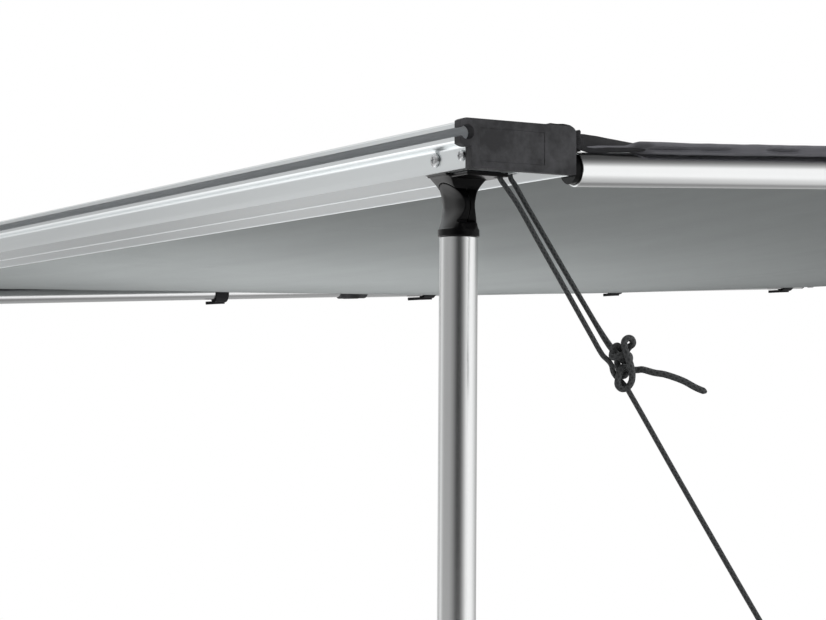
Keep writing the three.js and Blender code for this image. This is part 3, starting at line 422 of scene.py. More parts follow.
def piece(name, points, faces, maps=None):
    """A new object from points and faces, with an optional map value for each corner's point."""
    mesh = bpy.data.meshes.new(name)
    mesh.from_pydata([tuple(p) for p in points], [], faces)
    mesh.update()
    if maps:
        layer = mesh.uv_layers.new(name="sewn")
        flat = [value for face in maps for corner in face for value in corner]
        layer.data.foreach_set("uv", flat)
    made = bpy.data.objects.new(name, mesh)
    bpy.context.scene.collection.objects.link(made)
    return made


def smooth(made, angle=40):
    mesh = made.data
    mesh.polygons.foreach_set("use_smooth", [True] * len(mesh.polygons))
    mesh.set_sharp_from_angle(angle=math.radians(angle))
    return made


def baked(made):
    """Turns an object's modifiers into its mesh."""
    bpy.context.view_layer.update()
    graph = bpy.context.evaluated_depsgraph_get()
    mesh = bpy.data.meshes.new_from_object(made.evaluated_get(graph))
    made.modifiers.clear()
    made.data = mesh
    return made


def evened(made):
    """Smooth shading that keeps large faces flat."""
    smooth(made, 50)
    made.modifiers.new("normals", "WEIGHTED_NORMAL").keep_sharp = True
    return baked(made)


def closed_up(made, gap=None):
    """Joins points closer than the gap, if there is one, and turns all faces outwards."""
    work = bmesh.new()
    work.from_mesh(made.data)
    if gap:
        bmesh.ops.remove_doubles(work, verts=work.verts, dist=gap)
    bmesh.ops.recalc_face_normals(work, faces=work.faces)
    work.to_mesh(made.data)
    work.free()
    return made


def coated(made, finish):
    made.data.materials.clear()
    made.data.materials.append(finish.material)
    return made


def fitted(made, finish, *nodes):
    """Gives a new piece its finish, and sets it in the place of these nodes."""
    coated(made, finish)
    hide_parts(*nodes)
    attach(made, BODY_OF[nodes[0]])
    return made


def own_shape(node):
    """A node's own shape to work on, without the edges inside its flat faces."""
    work = bmesh.new()
    work.from_mesh(frame["nodes"][node].data)
    bmesh.ops.remove_doubles(work, verts=work.verts, dist=MERGE)
    bmesh.ops.dissolve_limit(work, angle_limit=math.radians(0.6), verts=work.verts, edges=work.edges)
    bmesh.ops.recalc_face_normals(work, faces=work.faces)
    return work


def finished(node, work):
    """The piece that a worked shape has become."""
    mesh = bpy.data.meshes.new(node + "_finished")
    work.to_mesh(mesh)
    work.free()
    made = bpy.data.objects.new(node + "_finished", mesh)
    bpy.context.scene.collection.objects.link(made)
    return made


def dressed(node, finish, width):
    """A node's own shape with its small edges rounded."""
    made = finished(node, own_shape(node))
    edge = made.modifiers.new("edge", "BEVEL")
    edge.width = width
    edge.segments = 2
    edge.limit_method = "ANGLE"
    edge.angle_limit = SHARP
    return fitted(evened(baked(made)), finish, node)


def rounded_rail(node, width):
    """The front rail's own shape, its long edges rounded, with half-round ribs laid over the low ones under it."""
    work = own_shape(node)

    def takes_round(edge):
        a, b = (v.co - FRONT for v in edge.verts)
        by_rib = a.z < 0.0005 and (abs(a.y - RIB_S[0]) < 0.0015 or a.y > RIB_S[1] - 0.0015)
        along = abs(a.x - b.x) > 1 and len(edge.link_faces) == 2
        return along and not by_rib and edge.calc_face_angle(0) > SHARP

    edges = [edge for edge in work.edges if takes_round(edge)]
    bmesh.ops.bevel(work, geom=edges, offset=width, segments=3, profile=0.5, affect="EDGES", clamp_overlap=True)
    fitted(evened(finished(node, work)), RAIL_FINISH, node)
    end = HALF - 0.009
    for number, s in enumerate(RIB_S, 1):
        path = [at_front(-end + 2 * end * i / 8, s, -0.0001) for i in range(9)]
        section = [(a, b, 0) for a, b in circle(RIB_R, 16)]
        rib = swept(f"{node}_rib_{number}", path, section, first_side=(0, 1, 0))
        coated(rib, RAIL_FINISH)
        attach(rib, BODY_OF[node])


def ring_faces(rows, columns, closed_rows=False):
    """Quads between rows of points that each close on themselves."""
    faces = []
    for i in range(rows if closed_rows else rows - 1):
        for j in range(columns):
            k = (j + 1) % columns
            n = (i + 1) % rows
            faces.append((i * columns + j, i * columns + k, n * columns + k, n * columns + j))
    return faces


def turned(name, origin, axis, profile, sides=64, wave=None):
    """A turned piece. The profile is a list of (radius, height) along the axis, closing on itself."""
    axis = axis.normalized()
    across = axis.orthogonal().normalized()
    over = axis.cross(across)
    points = []
    for radius, height in profile:
        for j in range(sides):
            angle = 2 * math.pi * j / sides
            r = radius + (wave(angle, height, radius) if wave else 0)
            points.append(origin + axis * height + across * (r * math.cos(angle)) + over * (r * math.sin(angle)))
    return smooth(closed_up(piece(name, points, ring_faces(len(profile), sides, True)), MERGE), 30)


def reach_along(node, origin, axis):
    """The lowest and highest place of a node along an axis."""
    heights = [(v.co - origin).dot(axis) for v in frame["nodes"][node].data.vertices]
    return min(heights), max(heights)


def smooth_path(points, step):
    """Points a step apart on a smooth curve through the given ones."""
    points = [Vector(p) for p in points]
    path = []
    for i in range(len(points) - 1):
        before = points[max(i - 1, 0)]
        start, end = points[i], points[i + 1]
        after = points[min(i + 2, len(points) - 1)]
        length = (end - start).length
        lead = (end - before) * (length / max((start - before).length + length, length))
        tail = (after - start) * (length / max((after - end).length + length, length))
        count = max(2, math.ceil(length / step))
        for j in range(count):
            t = j / count
            path.append(
                start * (2 * t**3 - 3 * t**2 + 1) + lead * (t**3 - 2 * t**2 + t)
                + end * (3 * t**2 - 2 * t**3) + tail * (t**3 - t**2)
            )
    path.append(points[-1])
    return path


def swept(name, path, section, closed=False, first_side=None, roll=None, swell=None):
    """A section of (side, over, map) points carried along a path. The map runs in metres along it."""
    count = len(path)
    ways = []
    for i in range(count):
        ahead = path[(i + 1) % count] if closed or i < count - 1 else path[i]
        behind = path[i - 1] if closed or i > 0 else path[i]
        ways.append((ahead - behind).normalized())
    side = Vector(first_side) if first_side else ways[0].orthogonal()
    points, lengths, length = [], [], 0.0
    for i, (spot, way) in enumerate(zip(path, ways)):
        side = (side - way * side.dot(way)).normalized()
        over = way.cross(side)
        length += (spot - path[i - 1]).length if i else 0
        lengths.append(length)
        turn = roll(i / (count - 1)) if roll else 0
        size = swell(i / (count - 1)) if swell else 1
        c, z = size * math.cos(turn), size * math.sin(turn)
        points += [spot + side * (a * c - b * z) + over * (a * z + b * c) for a, b, _ in section]
    n = len(section)
    faces = ring_faces(count, n, closed)
    last = lengths[-1] + (path[0] - path[-1]).length
    maps = []
    for face_index in range(len(faces)):
        i, j = divmod(face_index, n)
        here, there = lengths[i], lengths[i + 1] if i + 1 < count else last
        low = section[j][2]
        high = section[(j + 1) % n][2] if j + 1 < n else section[-1][2] * 2 - section[-2][2]
        maps.append(((here, low), (here, high), (there, high), (there, low)))
    if not closed:
        for start, reverse in ((0, True), ((count - 1) * n, False)):
            ends = list(range(start, start + n))
            faces.append(tuple(reversed(ends)) if reverse else tuple(ends))
            maps.append(tuple((0.0, 0.0) for _ in ends))
    return smooth(piece(name, points, faces, maps), 60)


# Guy rope

ROPE_R = 0.002
ROPE_STEP = 0.0009
ROPE_SIDES = 16
KNOT_AT = at_front(1.3164, 0.0905, -0.1465)
EYE_AT = at_front(1.224, 0.0452, 0.0064)


def at_knot(a, b, d):
    """A point by the knot, in millimetres: to the right, up and towards the front."""
    return KNOT_AT + (CAMERA_RIGHT * a + CAMERA_UP * b + CAMERA_BACK * d) / 1000


STANDING_ROUTE = [EYE_AT] + [at_front(*p) for p in (
    (1.224, 0.0414, 0.0046), (1.224, 0.0400, 0.001), (1.2248, 0.0406, -0.004), (1.2296, 0.0436, -0.0118),
    (1.2378, 0.0488, -0.0252), (1.2568, 0.0569, -0.0567), (1.2758, 0.0649, -0.0876), (1.2949, 0.0723, -0.118),
    (1.2996, 0.0742, -0.1256), (1.3091, 0.0779, -0.1404),
)] + [at_knot(*p) for p in (
    (-10.0, 1.6, 0.5), (-7.8, -1.6, 0.2), (-6.9, -5.6, 0), (-4.8, -9.4, -1.2), (-1.8, -12.2, -2.2),
    (1.2, -15.4, -0.6),
)] + [at_front(*p) for p in (
    (1.3209, 0.0927, -0.1663), (1.3594, 0.1116, -0.2329), (1.3988, 0.1308, -0.300), (1.4243, 0.1433, -0.343),
)]
RETURN_ROUTE = [EYE_AT] + [at_front(*p) for p in (
    (1.224, 0.0488, 0.0046), (1.2242, 0.0498, 0.001), (1.225, 0.0504, -0.004), (1.2283, 0.0520, -0.0089),
    (1.2378, 0.0562, -0.0248), (1.2473, 0.0607, -0.0406), (1.2663, 0.0695, -0.0719), (1.2854, 0.0780, -0.1026),
    (1.2996, 0.0845, -0.1253), (1.3052, 0.0878, -0.1342),
)] + [at_knot(*p) for p in (
    (-5.0, 8.0, -1.0), (-1.4, 4.0, -2.8), (2.6, 1.2, -3.4), (5.6, 2.4, -1.6), (5.0, 5.8, 1.4), (1.4, 6.6, 3.8),
    (-3.4, 5.2, 4.4), (-7.4, 4.6, 3.0), (-7.2, 8.0, 0.6), (-4.8, 12.4, -1.6), (-2.0, 12.2, -5.0),
    (-2.0, 6.0, -6.8), (-2.9, 0.6, -6.8), (-2.0, -4.0, -6.6), (-0.6, -8.0, -6.4), (1.4, -9.6, -5.6),
    (3.6, -7.6, -5.6), (3.2, -3.0, -6.6), (2.2, 2.0, -7.4), (2.8, 7.0, -5.6), (5.2, 11.6, -2.6), (7.9, 14.4, 0),
    (7.0, 17.8, 1.4), (4.0, 18.6, 2.2), (1.4, 16.2, 3.2), (1.4, 12.0, 5.0), (2.6, 7.4, 7.6), (4.6, 2.0, 7.4),
    (6.4, -3.4, 5.2), (7.2, -9.0, 3.6), (6.4, -14.2, 2.6), (3.4, -18.0, 2.4), (-0.6, -18.8, 2.6),
    (-3.4, -16.0, 2.8), (-3.2, -11.4, 2.8), (-2.2, -7.2, 2.6), (-0.4, -3.4, 2.0), (2.6, -3.0, -0.8),
    (6.6, -4.8, -2.8), (11.5, -5.0, -2.6), (15.1, -4.7, -1.6), (23.7, -7.0, -0.6), (31.6, -8.3, 0.2),
    (44.8, -12.9, 0.4), (54.7, -18.2, 0), (62.6, -21.4, -0.4),
)]
END_LOOP_R = 0.009
ROPE_SECTION = [(a, b, j / ROPE_SIDES) for j, (a, b) in enumerate(circle(ROPE_R, ROPE_SIDES))]


def path_length(path):
    return sum((b - a).length for a, b in zip(path, path[1:]))


def make_rope():
    standing = smooth_path(STANDING_ROUTE, ROPE_STEP)
    made = swept("guy_rope_standing_part", standing, ROPE_SECTION)
    fitted(made, ROPE_FINISH, "guy_rope_bight", "guy_rope_run")
    way = (STANDING_ROUTE[-1] - STANDING_ROUTE[-2]).normalized()
    centre = STANDING_ROUTE[-1] + way * (END_LOOP_R + ROPE_R)
    ring = [centre + Vector((a, 0, b)) for a, b in circle(END_LOOP_R, 48)]
    loop = swept("guy_rope_loop", ring, ROPE_SECTION, closed=True)
    fitted(loop, ROPE_FINISH, "guy_rope_end_loop")
    path_length(standing)
    back = smooth_path(RETURN_ROUTE, ROPE_STEP)

    def fullness(share):
        """The knotted part and the tail are untwisted and thicker, and the end is rounded off."""
        return (1 + 0.24 * clamp((share - 0.34) / 0.05)) * min(1, 0.12 + (1 - share) / 0.007) ** 0.5

    tail = swept("guy_rope_returning_part", back, ROPE_SECTION, swell=fullness)
    fitted(tail, ROPE_FINISH, "guy_rope_tail", "guy_rope_knot")
    path_length(back)


make_rope()


# Tubes and other round pieces

TUBE_WALL = 0.0012
TUBE_LIP = 0.0003
PLAY = 0.0003


def make_tube(node, origin, axis, radius, finish):
    low, high = reach_along(node, origin, axis)
    bore, edge = radius - TUBE_WALL, radius - TUBE_LIP
    profile = [
        (bore, low), (edge, low), (radius, low + TUBE_LIP), (radius, high - TUBE_LIP), (edge, high), (bore, high),
    ]
    return fitted(turned(node + "_finished", origin, axis, profile, 72), finish, node)


def make_twist_lock(node, origin, axis, wall):
    """A twist-lock collar with a fluted grip."""
    low, high = reach_along(node, origin, axis)
    socket = OUTER_TUBE_R + PLAY
    outer = socket + wall
    inner = INNER_TUBE_R + PLAY
    grip = outer + 0.0005
    length = high - low
    stations = [0.013, 0.0145, 0.016, 0.020, 0.026, 0.032, 0.038, 0.0405, 0.042, 0.0435]
    profile = [(inner, 0), (outer - 0.0015, 0), (outer - 0.0005, 0.0005), (outer, 0.0015), (outer, 0.012)]
    profile += [(grip, station) for station in stations]
    profile += [
        (outer, 0.045), (outer, length - 0.0015), (outer - 0.0007, length), (socket, length),
        (socket, length - 0.015), (inner, length - 0.0153),
    ]

    def flutes(angle, height, radius):
        place = height - low
        fade = clamp((place - 0.0135) / 0.002) * clamp((0.043 - place) / 0.002)
        return -0.0007 * fade * (0.5 + 0.5 * math.cos(20 * angle)) if radius == grip else 0

    profile = [(radius, low + height) for radius, height in profile]
    return fitted(turned(node + "_finished", origin, axis, profile, 160, flutes), CAP_FINISH, node)


def make_foot(node, origin):
    low, high = reach_along(node, origin, UP)
    wall = INNER_TUBE_R + PLAY
    rib, groove, floor = wall + 0.0025, wall + 0.0019, low + 0.0123
    profile = [
        (0, low), (0.0165, low), (0.0175, low + 0.0008), (0.0188, low + 0.0012), (0.019, low + 0.002),
        (0.019, low + 0.0065), (0.0185, low + 0.0080), (0.0166, low + 0.0165), (rib, low + 0.0175),
    ]
    for i in range(4):
        ring = low + 0.0195 + i * 0.0035
        profile += [(rib, ring), (groove, ring + 0.0006), (groove, ring + 0.0012), (rib, ring + 0.0018)]
    profile += [(rib, high - 0.0006), (groove, high), (wall, high), (wall, floor), (0, floor)]
    return fitted(turned(node + "_finished", origin, UP, profile, 72), RUBBER_FINISH, node)


for side, word in SIDES:
    leg_at = at_front(side * LEG_X, LEG_S, 0)
    make_tube(f"leg_upper_tube_{word}", leg_at, UP, OUTER_TUBE_R, LEG_TUBE_FINISH)
    make_tube(f"leg_lower_tube_{word}", leg_at, UP, INNER_TUBE_R, LEG_TUBE_FINISH)
    make_twist_lock(f"leg_twist_lock_{word}", leg_at, UP, 0.0028)
    make_foot(f"leg_foot_{word}", leg_at)
    hinge_at = RAFTER_PIVOT[word]
    make_tube(f"rafter_outer_tube_{word}", hinge_at, ALONG_RAFTER, OUTER_TUBE_R, RAFTER_TUBE_FINISH)
    make_tube(f"rafter_inner_tube_{word}", hinge_at, ALONG_RAFTER, INNER_TUBE_R, RAFTER_TUBE_FINISH)
    make_twist_lock(f"rafter_twist_lock_{word}", hinge_at, ALONG_RAFTER, 0.0013)


# Leg heads: a waisted knuckle that laps in front of its bracket at the pivot

FLARE_HALF_X = 0.015
FLARE_HALF_S = 0.0205
THROAT_HALF_X = 0.0125
WAIST_HALF_S = 0.0068
PIN_SEAT_S = 0.0048
HEAD_FOOT_HALF_S = 0.0160
DISC_R = 0.0175
KNUCKLE_END = 0.0435
COLLAR_R = 0.0163
COLLAR_END = 0.0477
PIN_R = 0.003
GAP = 0.0003
VOXEL = 0.00045
SOFTENING = 11


def extruded(name, outline, push):
    """A solid from a flat outline pushed one way."""
    count = len(outline)
    points = [Vector(p) for p in outline] + [Vector(p) + Vector(push) for p in outline]
    faces = [tuple(range(count)), tuple(range(2 * count - 1, count - 1, -1))]
    faces += [(i, count + i, count + (i + 1) % count, (i + 1) % count) for i in range(count)]
    return closed_up(piece(name, points, faces))


def carved(name, steps):
    """Solids added, cut and kept in turn, then rounded over all their edges."""
    made = steps[0][1]
    for operation, other in steps[1:]:
        step = made.modifiers.new("step", "BOOLEAN")
        step.operation = operation
        step.solver = "EXACT"
        step.object = other
        baked(made)
        bpy.data.objects.remove(other)
    even = made.modifiers.new("even", "REMESH")
    even.mode = "VOXEL"
    even.voxel_size = VOXEL
    soft = made.modifiers.new("soft", "SMOOTH")
    soft.factor = 0.5
    soft.iterations = SOFTENING
    baked(made)
    made.name = name
    mesh = made.data
    mesh.polygons.foreach_set("use_smooth", [True] * len(mesh.polygons))
    return made


def waist(depth):
    """Half the head's thickness at a depth below the rail."""
    if depth < PIVOT_DROP:
        return WAIST_HALF_S + (FLARE_HALF_S - WAIST_HALF_S) * (1 - max(depth, 0) / PIVOT_DROP) ** 1.6
    share = min(1, (depth - PIVOT_DROP) / (KNUCKLE_END - PIVOT_DROP))
    return WAIST_HALF_S + (HEAD_FOOT_HALF_S - WAIST_HALF_S) * share ** 1.6


def waisted_block(x):
    """The space inside the head's waisted front and rear, which round off towards its sides."""
    rows, columns, half = 48, 24, 0.024
    points = []
    for way in (-1, 1):
        for i in range(rows + 1):
            depth = KNUCKLE_END * i / rows
            for j in range(columns + 1):
                a = half * (2 * j / columns - 1)
                strength = 0.06 + 0.26 * min(1, depth / 0.014)
                round_off = 1 - strength * min(1.2, abs(a) / 0.0165) ** 3
                foot = max(0, (depth - 0.030) / (KNUCKLE_END - 0.030)) ** 1.5
                round_off += foot * (max(0.04, 1 - (a / 0.0167) ** 2) ** 0.5 - round_off)
                points.append(at_front(x + a, LEG_S + way * waist(depth) * round_off, -depth))
    step, layer = columns + 1, (rows + 1) * (columns + 1)
    faces = []
    for base in (0, layer):
        for i in range(rows):
            for j in range(columns):
                k = base + i * step + j
                faces.append((k, k + 1, k + 1 + step, k + step))
    border = list(range(columns)) + [i * step + columns for i in range(rows)]
    border += [rows * step + j for j in range(columns, 0, -1)] + [i * step for i in range(rows, 0, -1)]
    for k, n in zip(border, border[1:] + border[:1]):
        faces.append((k, n, n + layer, k + layer))
    return closed_up(piece("waisted", points, faces))


def make_leg_head(side, word):
    x = side * LEG_X
    far = 0.03

    def box(x0, x1, s0, s1, z0, z1):
        corners = [at_front(a, b, z0) for a, b in ((x0, s0), (x1, s0), (x1, s1), (x0, s1))]
        return extruded("box", corners, (0, 0, z1 - z0))

    def drum(radius, s0, s1, at=(x, -PIVOT_DROP)):
        outline = [at_front(at[0] + a, s0, at[1] + b) for a, b in circle(radius, 96)]
        return extruded("drum", outline, (0, s1 - s0, 0))

    def rod(radius, at, z0, z1):
        outline = [at_front(at[0] + a, at[1] + b, z0) for a, b in circle(radius, 72)]
        return extruded("rod", outline, (0, 0, z1 - z0))

    def face(outline):
        return extruded("face", [at_front(x + a, LEG_S - far, z) for a, z in outline], (0, 2 * far, 0))

    lap = GAP / 2
    throat = [
        (-THROAT_HALF_X, -PIVOT_DROP), (THROAT_HALF_X, -PIVOT_DROP), (THROAT_HALF_X, -0.009),
        (FLARE_HALF_X, -0.004), (FLARE_HALF_X, 0), (-FLARE_HALF_X, 0), (-FLARE_HALF_X, -0.004),
        (-THROAT_HALF_X, -0.009),
    ]
    bracket = carved(f"leg_bracket_{word}_finished", [
        ("UNION", face(throat)),
        ("DIFFERENCE", drum(DISC_R + GAP, LEG_S - far, LEG_S + lap)),
        ("UNION", drum(DISC_R, LEG_S + lap, LEG_S + far)),
        ("INTERSECT", waisted_block(x)),
        ("UNION", box(x - side * 0.010, x + side * 0.0395, 0.009, 0.046, -0.0033, -GAP)),
        ("UNION", box(x - 0.0146, x + 0.0146, 0.005, 0.0158, -0.0018, 0.001)),
        ("UNION", box(x - 0.0148, x + 0.0148, 0.0028, 0.0158, -GAP, 0.0146)),
        ("DIFFERENCE", rod(0.0035, (side * 1.224, 0.040), -0.01, 0.004)),
        ("DIFFERENCE", drum(PIN_R + GAP, LEG_S, LEG_S + far)),
        ("DIFFERENCE", drum(0.0053, LEG_S + PIN_SEAT_S, LEG_S + far)),
        ("DIFFERENCE", drum(0.0023, -0.005, 0.02, (side * 1.197, 0.0098))),
    ])
    fitted(bracket, GLOSS_FINISH, f"leg_bracket_{word}")
    shoulder = -PIVOT_DROP - 0.0131
    lower = [
        (-0.0146, shoulder), (-0.0152, shoulder - 0.002), (-0.0162, -KNUCKLE_END), (0.0162, -KNUCKLE_END),
        (0.0152, shoulder - 0.002), (0.0146, shoulder),
    ]
    knuckle = carved(f"leg_knuckle_{word}_finished", [
        ("UNION", face(lower)),
        ("DIFFERENCE", drum(DISC_R + GAP, LEG_S - lap, LEG_S + far)),
        ("UNION", drum(DISC_R, LEG_S - far, LEG_S - lap)),
        ("INTERSECT", waisted_block(x)),
        ("UNION", rod(COLLAR_R, (x, LEG_S), -COLLAR_END, -KNUCKLE_END + 0.0016)),
        ("UNION", rod(0.0135, (x, LEG_S), -COLLAR_END - 0.030, -COLLAR_END + GAP)),
        ("DIFFERENCE", drum(PIN_R + GAP, LEG_S - 0.0033, LEG_S + far)),
    ])
    fitted(knuckle, GLOSS_FINISH, f"leg_knuckle_{word}")


for side, word in SIDES:
    make_leg_head(side, word)


# Screws with a cross recess

SCREW_Z = 0.0098


def make_screw(node, x, head_r):
    """A pan head on the front rail's face, and its shank behind."""
    rings, sides = 14, 64
    face = -0.0003
    points, faces = [], []
    for i in range(rings + 1):
        radius = head_r * i / rings
        for a, b in circle(radius, sides):
            dome = 0.0028 - 0.0013 * (radius / head_r) ** 3
            arm = min(abs(a), abs(b))
            reach = max(abs(a), abs(b))
            recess = 0.0012 * clamp((0.00072 - arm) / 0.00018) * clamp((0.0027 - reach) / 0.0004)
            points.append(at_front(x + a, face - dome + recess, SCREW_Z + b))
    back = [(head_r, face), (0.002, face), (0.002, 0.014), (0.0, 0.014)]
    for radius, depth in back:
        points += [at_front(x + a, depth, SCREW_Z + b) for a, b in circle(radius, sides)]
    made = piece(node + "_finished", points, ring_faces(rings + 1 + len(back), sides))
    return fitted(smooth(closed_up(made, 1e-7), 45), STEEL_FINISH, node)


for side, word in SIDES:
    make_screw(f"cap_screw_{word}", side * 1.2365, 0.0042)
    make_screw(f"leg_bracket_screw_{word}", side * 1.197, 0.0054)


# Canopy

CLOTH_THICK = 0.0007
CLOTH_HALF_X = 1.2335
HEM_START_S = 0.112
HEM_END_S = 2.425
SAG = 0.070


def rafter_height(s):
    return RAFTER_AXIS_Z + s * math.tan(SLOPE)


def lift(s):
    share = (s - 0.093) / (2.475 - 0.093)
    return 0.016 + 0.0065 * share


def cloth_height(s):
    return rafter_height(s) + lift(s) / math.cos(SLOPE)


# Creases pulled into the cloth: from and to in X and distance from the front rail, height, half width
CREASES = (
    (0.34, 0.24, 0.71, 0.31, 0.0016, 0.012), (0.70, 0.30, 1.02, 0.40, 0.0015, 0.012),
    (0.52, 0.56, 0.95, 0.65, 0.0018, 0.014), (0.60, 0.72, 1.10, 0.80, 0.0014, 0.014),
    (-0.20, 0.16, 0.02, 0.37, 0.0020, 0.016), (0.08, 0.17, -0.08, 0.40, 0.0018, 0.015),
    (0.10, 1.00, 0.80, 1.12, 0.0016, 0.018), (-0.55, 0.70, 0.05, 0.62, 0.0016, 0.018),
    (-0.90, 1.60, -0.30, 1.45, 0.0018, 0.020), (0.40, 1.90, 1.00, 1.75, 0.0018, 0.018),
    (-0.70, 2.05, -0.10, 2.20, 0.0016, 0.018), (-1.00, 0.30, -0.60, 0.42, 0.0018, 0.014),
)


def ripple(x, s):
    """Soft creases: long ones across the cloth, short ones near its tied corners."""
    long_fold = noise.noise(Vector((x * 0.9 + s * 0.5, s * 5.5 - x * 0.8, 3.1)))
    fine_fold = noise.noise(Vector((x * 2.1, s * 17 - x * 2.5, 7.7)))
    corner = math.exp(-((HALF - abs(x)) / 0.25)) * math.exp(-min(s, 2.5 - s) / 0.35)
    tug = noise.noise(Vector((x * 24, s * 24, 1.3)))
    folds = 0
    for x0, s0, x1, s1, height, half in CREASES:
        way = Vector((x1 - x0, s1 - s0))
        spot = Vector((x - x0, s - s0))
        share = clamp(spot.dot(way) / way.length_squared)
        off = (spot.x * way.y - spot.y * way.x) / way.length
        beyond = (spot - way * share).length
        folds += 1.7 * height * math.sin(math.pi * min(1, max(0.02, share))) ** 0.5 * (
            math.exp(-(beyond / half) ** 2) - 0.6 * math.exp(-((beyond / half) ** 2) / 3) * (off > 0)
        )
    return 0.0026 * long_fold + 0.0008 * fine_fold + 0.0022 * corner * tug + folds


def make_canopy():
    columns, rows = 240, 260
    points, faces = [], []
    for j in range(rows + 1):
        share = j / rows
        s = CLOTH_FROM_S + (CLOTH_TO_S - CLOTH_FROM_S) * share
        held = 4 * share * (1 - share) * min(1, (1 - share) / 0.08)
        for i in range(columns + 1):
            across = 2 * i / columns - 1
            free = 1 - across * across
            edge = min(1, 12 * share, 12 * (1 - share)) * min(1, 14 * free)
            z = cloth_height(s) - SAG * free * held + ripple(across * CLOTH_HALF_X, s) * edge
            tucked = 1 - 0.024 * clamp((0.150 - s) / 0.012)
            points.append(at_front(across * CLOTH_HALF_X * tucked, s, z))
    step = columns + 1
    for j in range(rows):
        for i in range(columns):
            corner = j * step + i
            faces.append((corner, corner + 1, corner + 1 + step, corner + step))
    made = piece("canopy_sheet", points, faces)
    thick = made.modifiers.new("thick", "SOLIDIFY")
    thick.thickness = CLOTH_THICK
    thick.offset = 0
    return smooth(baked(made), 60)


HEM_HOLLOWS = ((0.183, 0.024, 1.0), (0.228, 0.019, 0.9), (0.298, 0.017, 1.0), (0.372, 0.028, 0.6))
HEM_SHAPE = (
    (-13.0, -0.2), (-13.2, 1.4), (-7.0, 3.6), (0.0, 5.2), (7.0, 5.6), (12.2, 4.0), (14.4, 1.6), (14.0, -0.6),
    (14.2, -2.6), (12.4, -4.6), (10.6, -4.4), (8.6, -2.6), (3.0, -1.6), (-5.0, -1.2),
)


def hem_hollow(s, side):
    """How deep the hem is pinched here: as listed near the front rail, then by chance."""
    near = sum(depth * math.exp(-((s - middle) / half) ** 4) for middle, half, depth in HEM_HOLLOWS)
    chance = max(0, noise.noise(Vector((s * 11.0, side * 3.0, 0.4))) - 0.05) * 2.2
    return min(1, near + chance * clamp((s - 0.42) / 0.05))


def make_hem(side, word):
    """The doubled, gathered hem that lies along the top and shoulder of a rafter."""
    count = 1100
    section = smooth_path([(a, b, 0) for a, b in HEM_SHAPE + HEM_SHAPE[:1]], 1.2)[:-1]
    points = []
    for i in range(count + 1):
        s = HEM_START_S + (HEM_END_S - HEM_START_S) * i / count
        base = cloth_height(s)
        gather = noise.noise(Vector((s * 7.0, side * 3.0, 9.4)))
        pucker = noise.noise(Vector((s * 31.0, side * 5.0, 2.2)))
        near = math.exp(-max(0, s - 0.16) / 0.12)
        full = 0.82 + 0.30 * near + 0.16 * gather + 0.05 * pucker
        pinch = hem_hollow(s, side)
        end = min(1, 0.30 + 0.15 * min(1, i / 6) + 0.55 * max(0, s - 0.150) / 0.012, 0.35 + 22 * (count - i) / count)
        narrow = 0.28 + 0.72 * clamp((s - 0.156) / 0.012)
        for a, b, _ in section:
            a *= narrow
            rise = b * (full if b > 0 else 0.72 + 0.28 * min(1, s / 0.22)) * end
            crease = math.exp(-((b + 0.9) / 1.5) ** 2) * max(0, (a - 9) / 5)
            inward = 3.6 * pinch * crease
            lip = 0.8 * pinch * math.exp(-((b - 2.6) / 1.8) ** 2) * max(0, (a - 9) / 5)
            creep = 0.35 * noise.noise(Vector((s * 55.0, a * 0.12, b * 0.2 + side)))
            points.append(at_front(
                side * (RAFTER_X + (a - inward + lip) / 1000), s, base + (rise + creep) / 1000,
            ))
    sides = len(section)
    faces = ring_faces(count + 1, sides)
    faces.append(tuple(reversed(range(sides))))
    faces.append(tuple(range(count * sides, (count + 1) * sides)))
    return smooth(closed_up(piece(f"canopy_hem_{word}", points, faces)), 60)


def stretched_between_rails(made):
    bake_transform(made)


canopy = coated(make_canopy(), CLOTH_FINISH)
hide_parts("canopy")
hems = [coated(make_hem(side, word), HEM_FINISH) for side, word in SIDES]
for cloth in (canopy, *hems):
    stretched_between_rails(cloth)


# Webbing

def ribbon(width, thick):
    """A tape's section: (across, over, map across)."""
    a, b = width / 2, thick / 2
    soft = thick * 0.3
    corners = [
        (-a + soft, -b), (0, -b), (a - soft, -b), (a, -b + soft), (a, b - soft),
        (a - soft, b), (0, b), (-a + soft, b), (-a, b - soft), (-a, -b + soft),
    ]
    return [(x, y, x if y < 0 else width - x) for x, y in corners]


STRAP_PITCH = 0.465
STRAP_WIDTH = 0.025
STRAP_THICK = 0.0013


def make_strap(side, word, number):
    """A tape sewn to the hem that goes loosely round the rafter, its end hanging below."""
    node = f"canopy_strap_{word}_{number}"
    s = number * STRAP_PITCH
    centre = at_front(side * RAFTER_X, s, rafter_height(s))
    lean = 0.15 * noise.noise(Vector((number, side, 0.5)))
    across = Vector((side, 0, 0))
    up = ALONG_RAFTER.cross(Vector((-1, 0, 0))).normalized()
    route = []
    steps = 40
    for i in range(steps + 1):
        angle = math.radians(68 - 316 * i / steps)
        drop = 0.0008 * max(0, -math.sin(angle)) ** 2
        radius = 0.0176 + drop
        route.append(centre + across * (radius * math.cos(angle)) + up * (radius * math.sin(angle)))
    ring = swept(node + "_finished", route, ribbon(STRAP_WIDTH, STRAP_THICK), first_side=ALONG_RAFTER)
    loose = 0.056 if number % 2 else 0.040
    way = -ALONG_RAFTER
    tail = [
        centre - up * (0.0188 + 0.0010 * share ** 1.5) + way * (loose * share - 0.011)
        + across * (0.002 + lean * 0.03 * share)
        for share in (0, 0.25, 0.5, 0.75, 1)
    ]
    tab = swept(node + "_tab", smooth_path(tail, 0.002), ribbon(0.0060, STRAP_THICK * 2), first_side=up)
    for made in (ring, tab):
        coated(made, WEBBING_FINISH)
        stretched_between_rails(made)
    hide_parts(node)


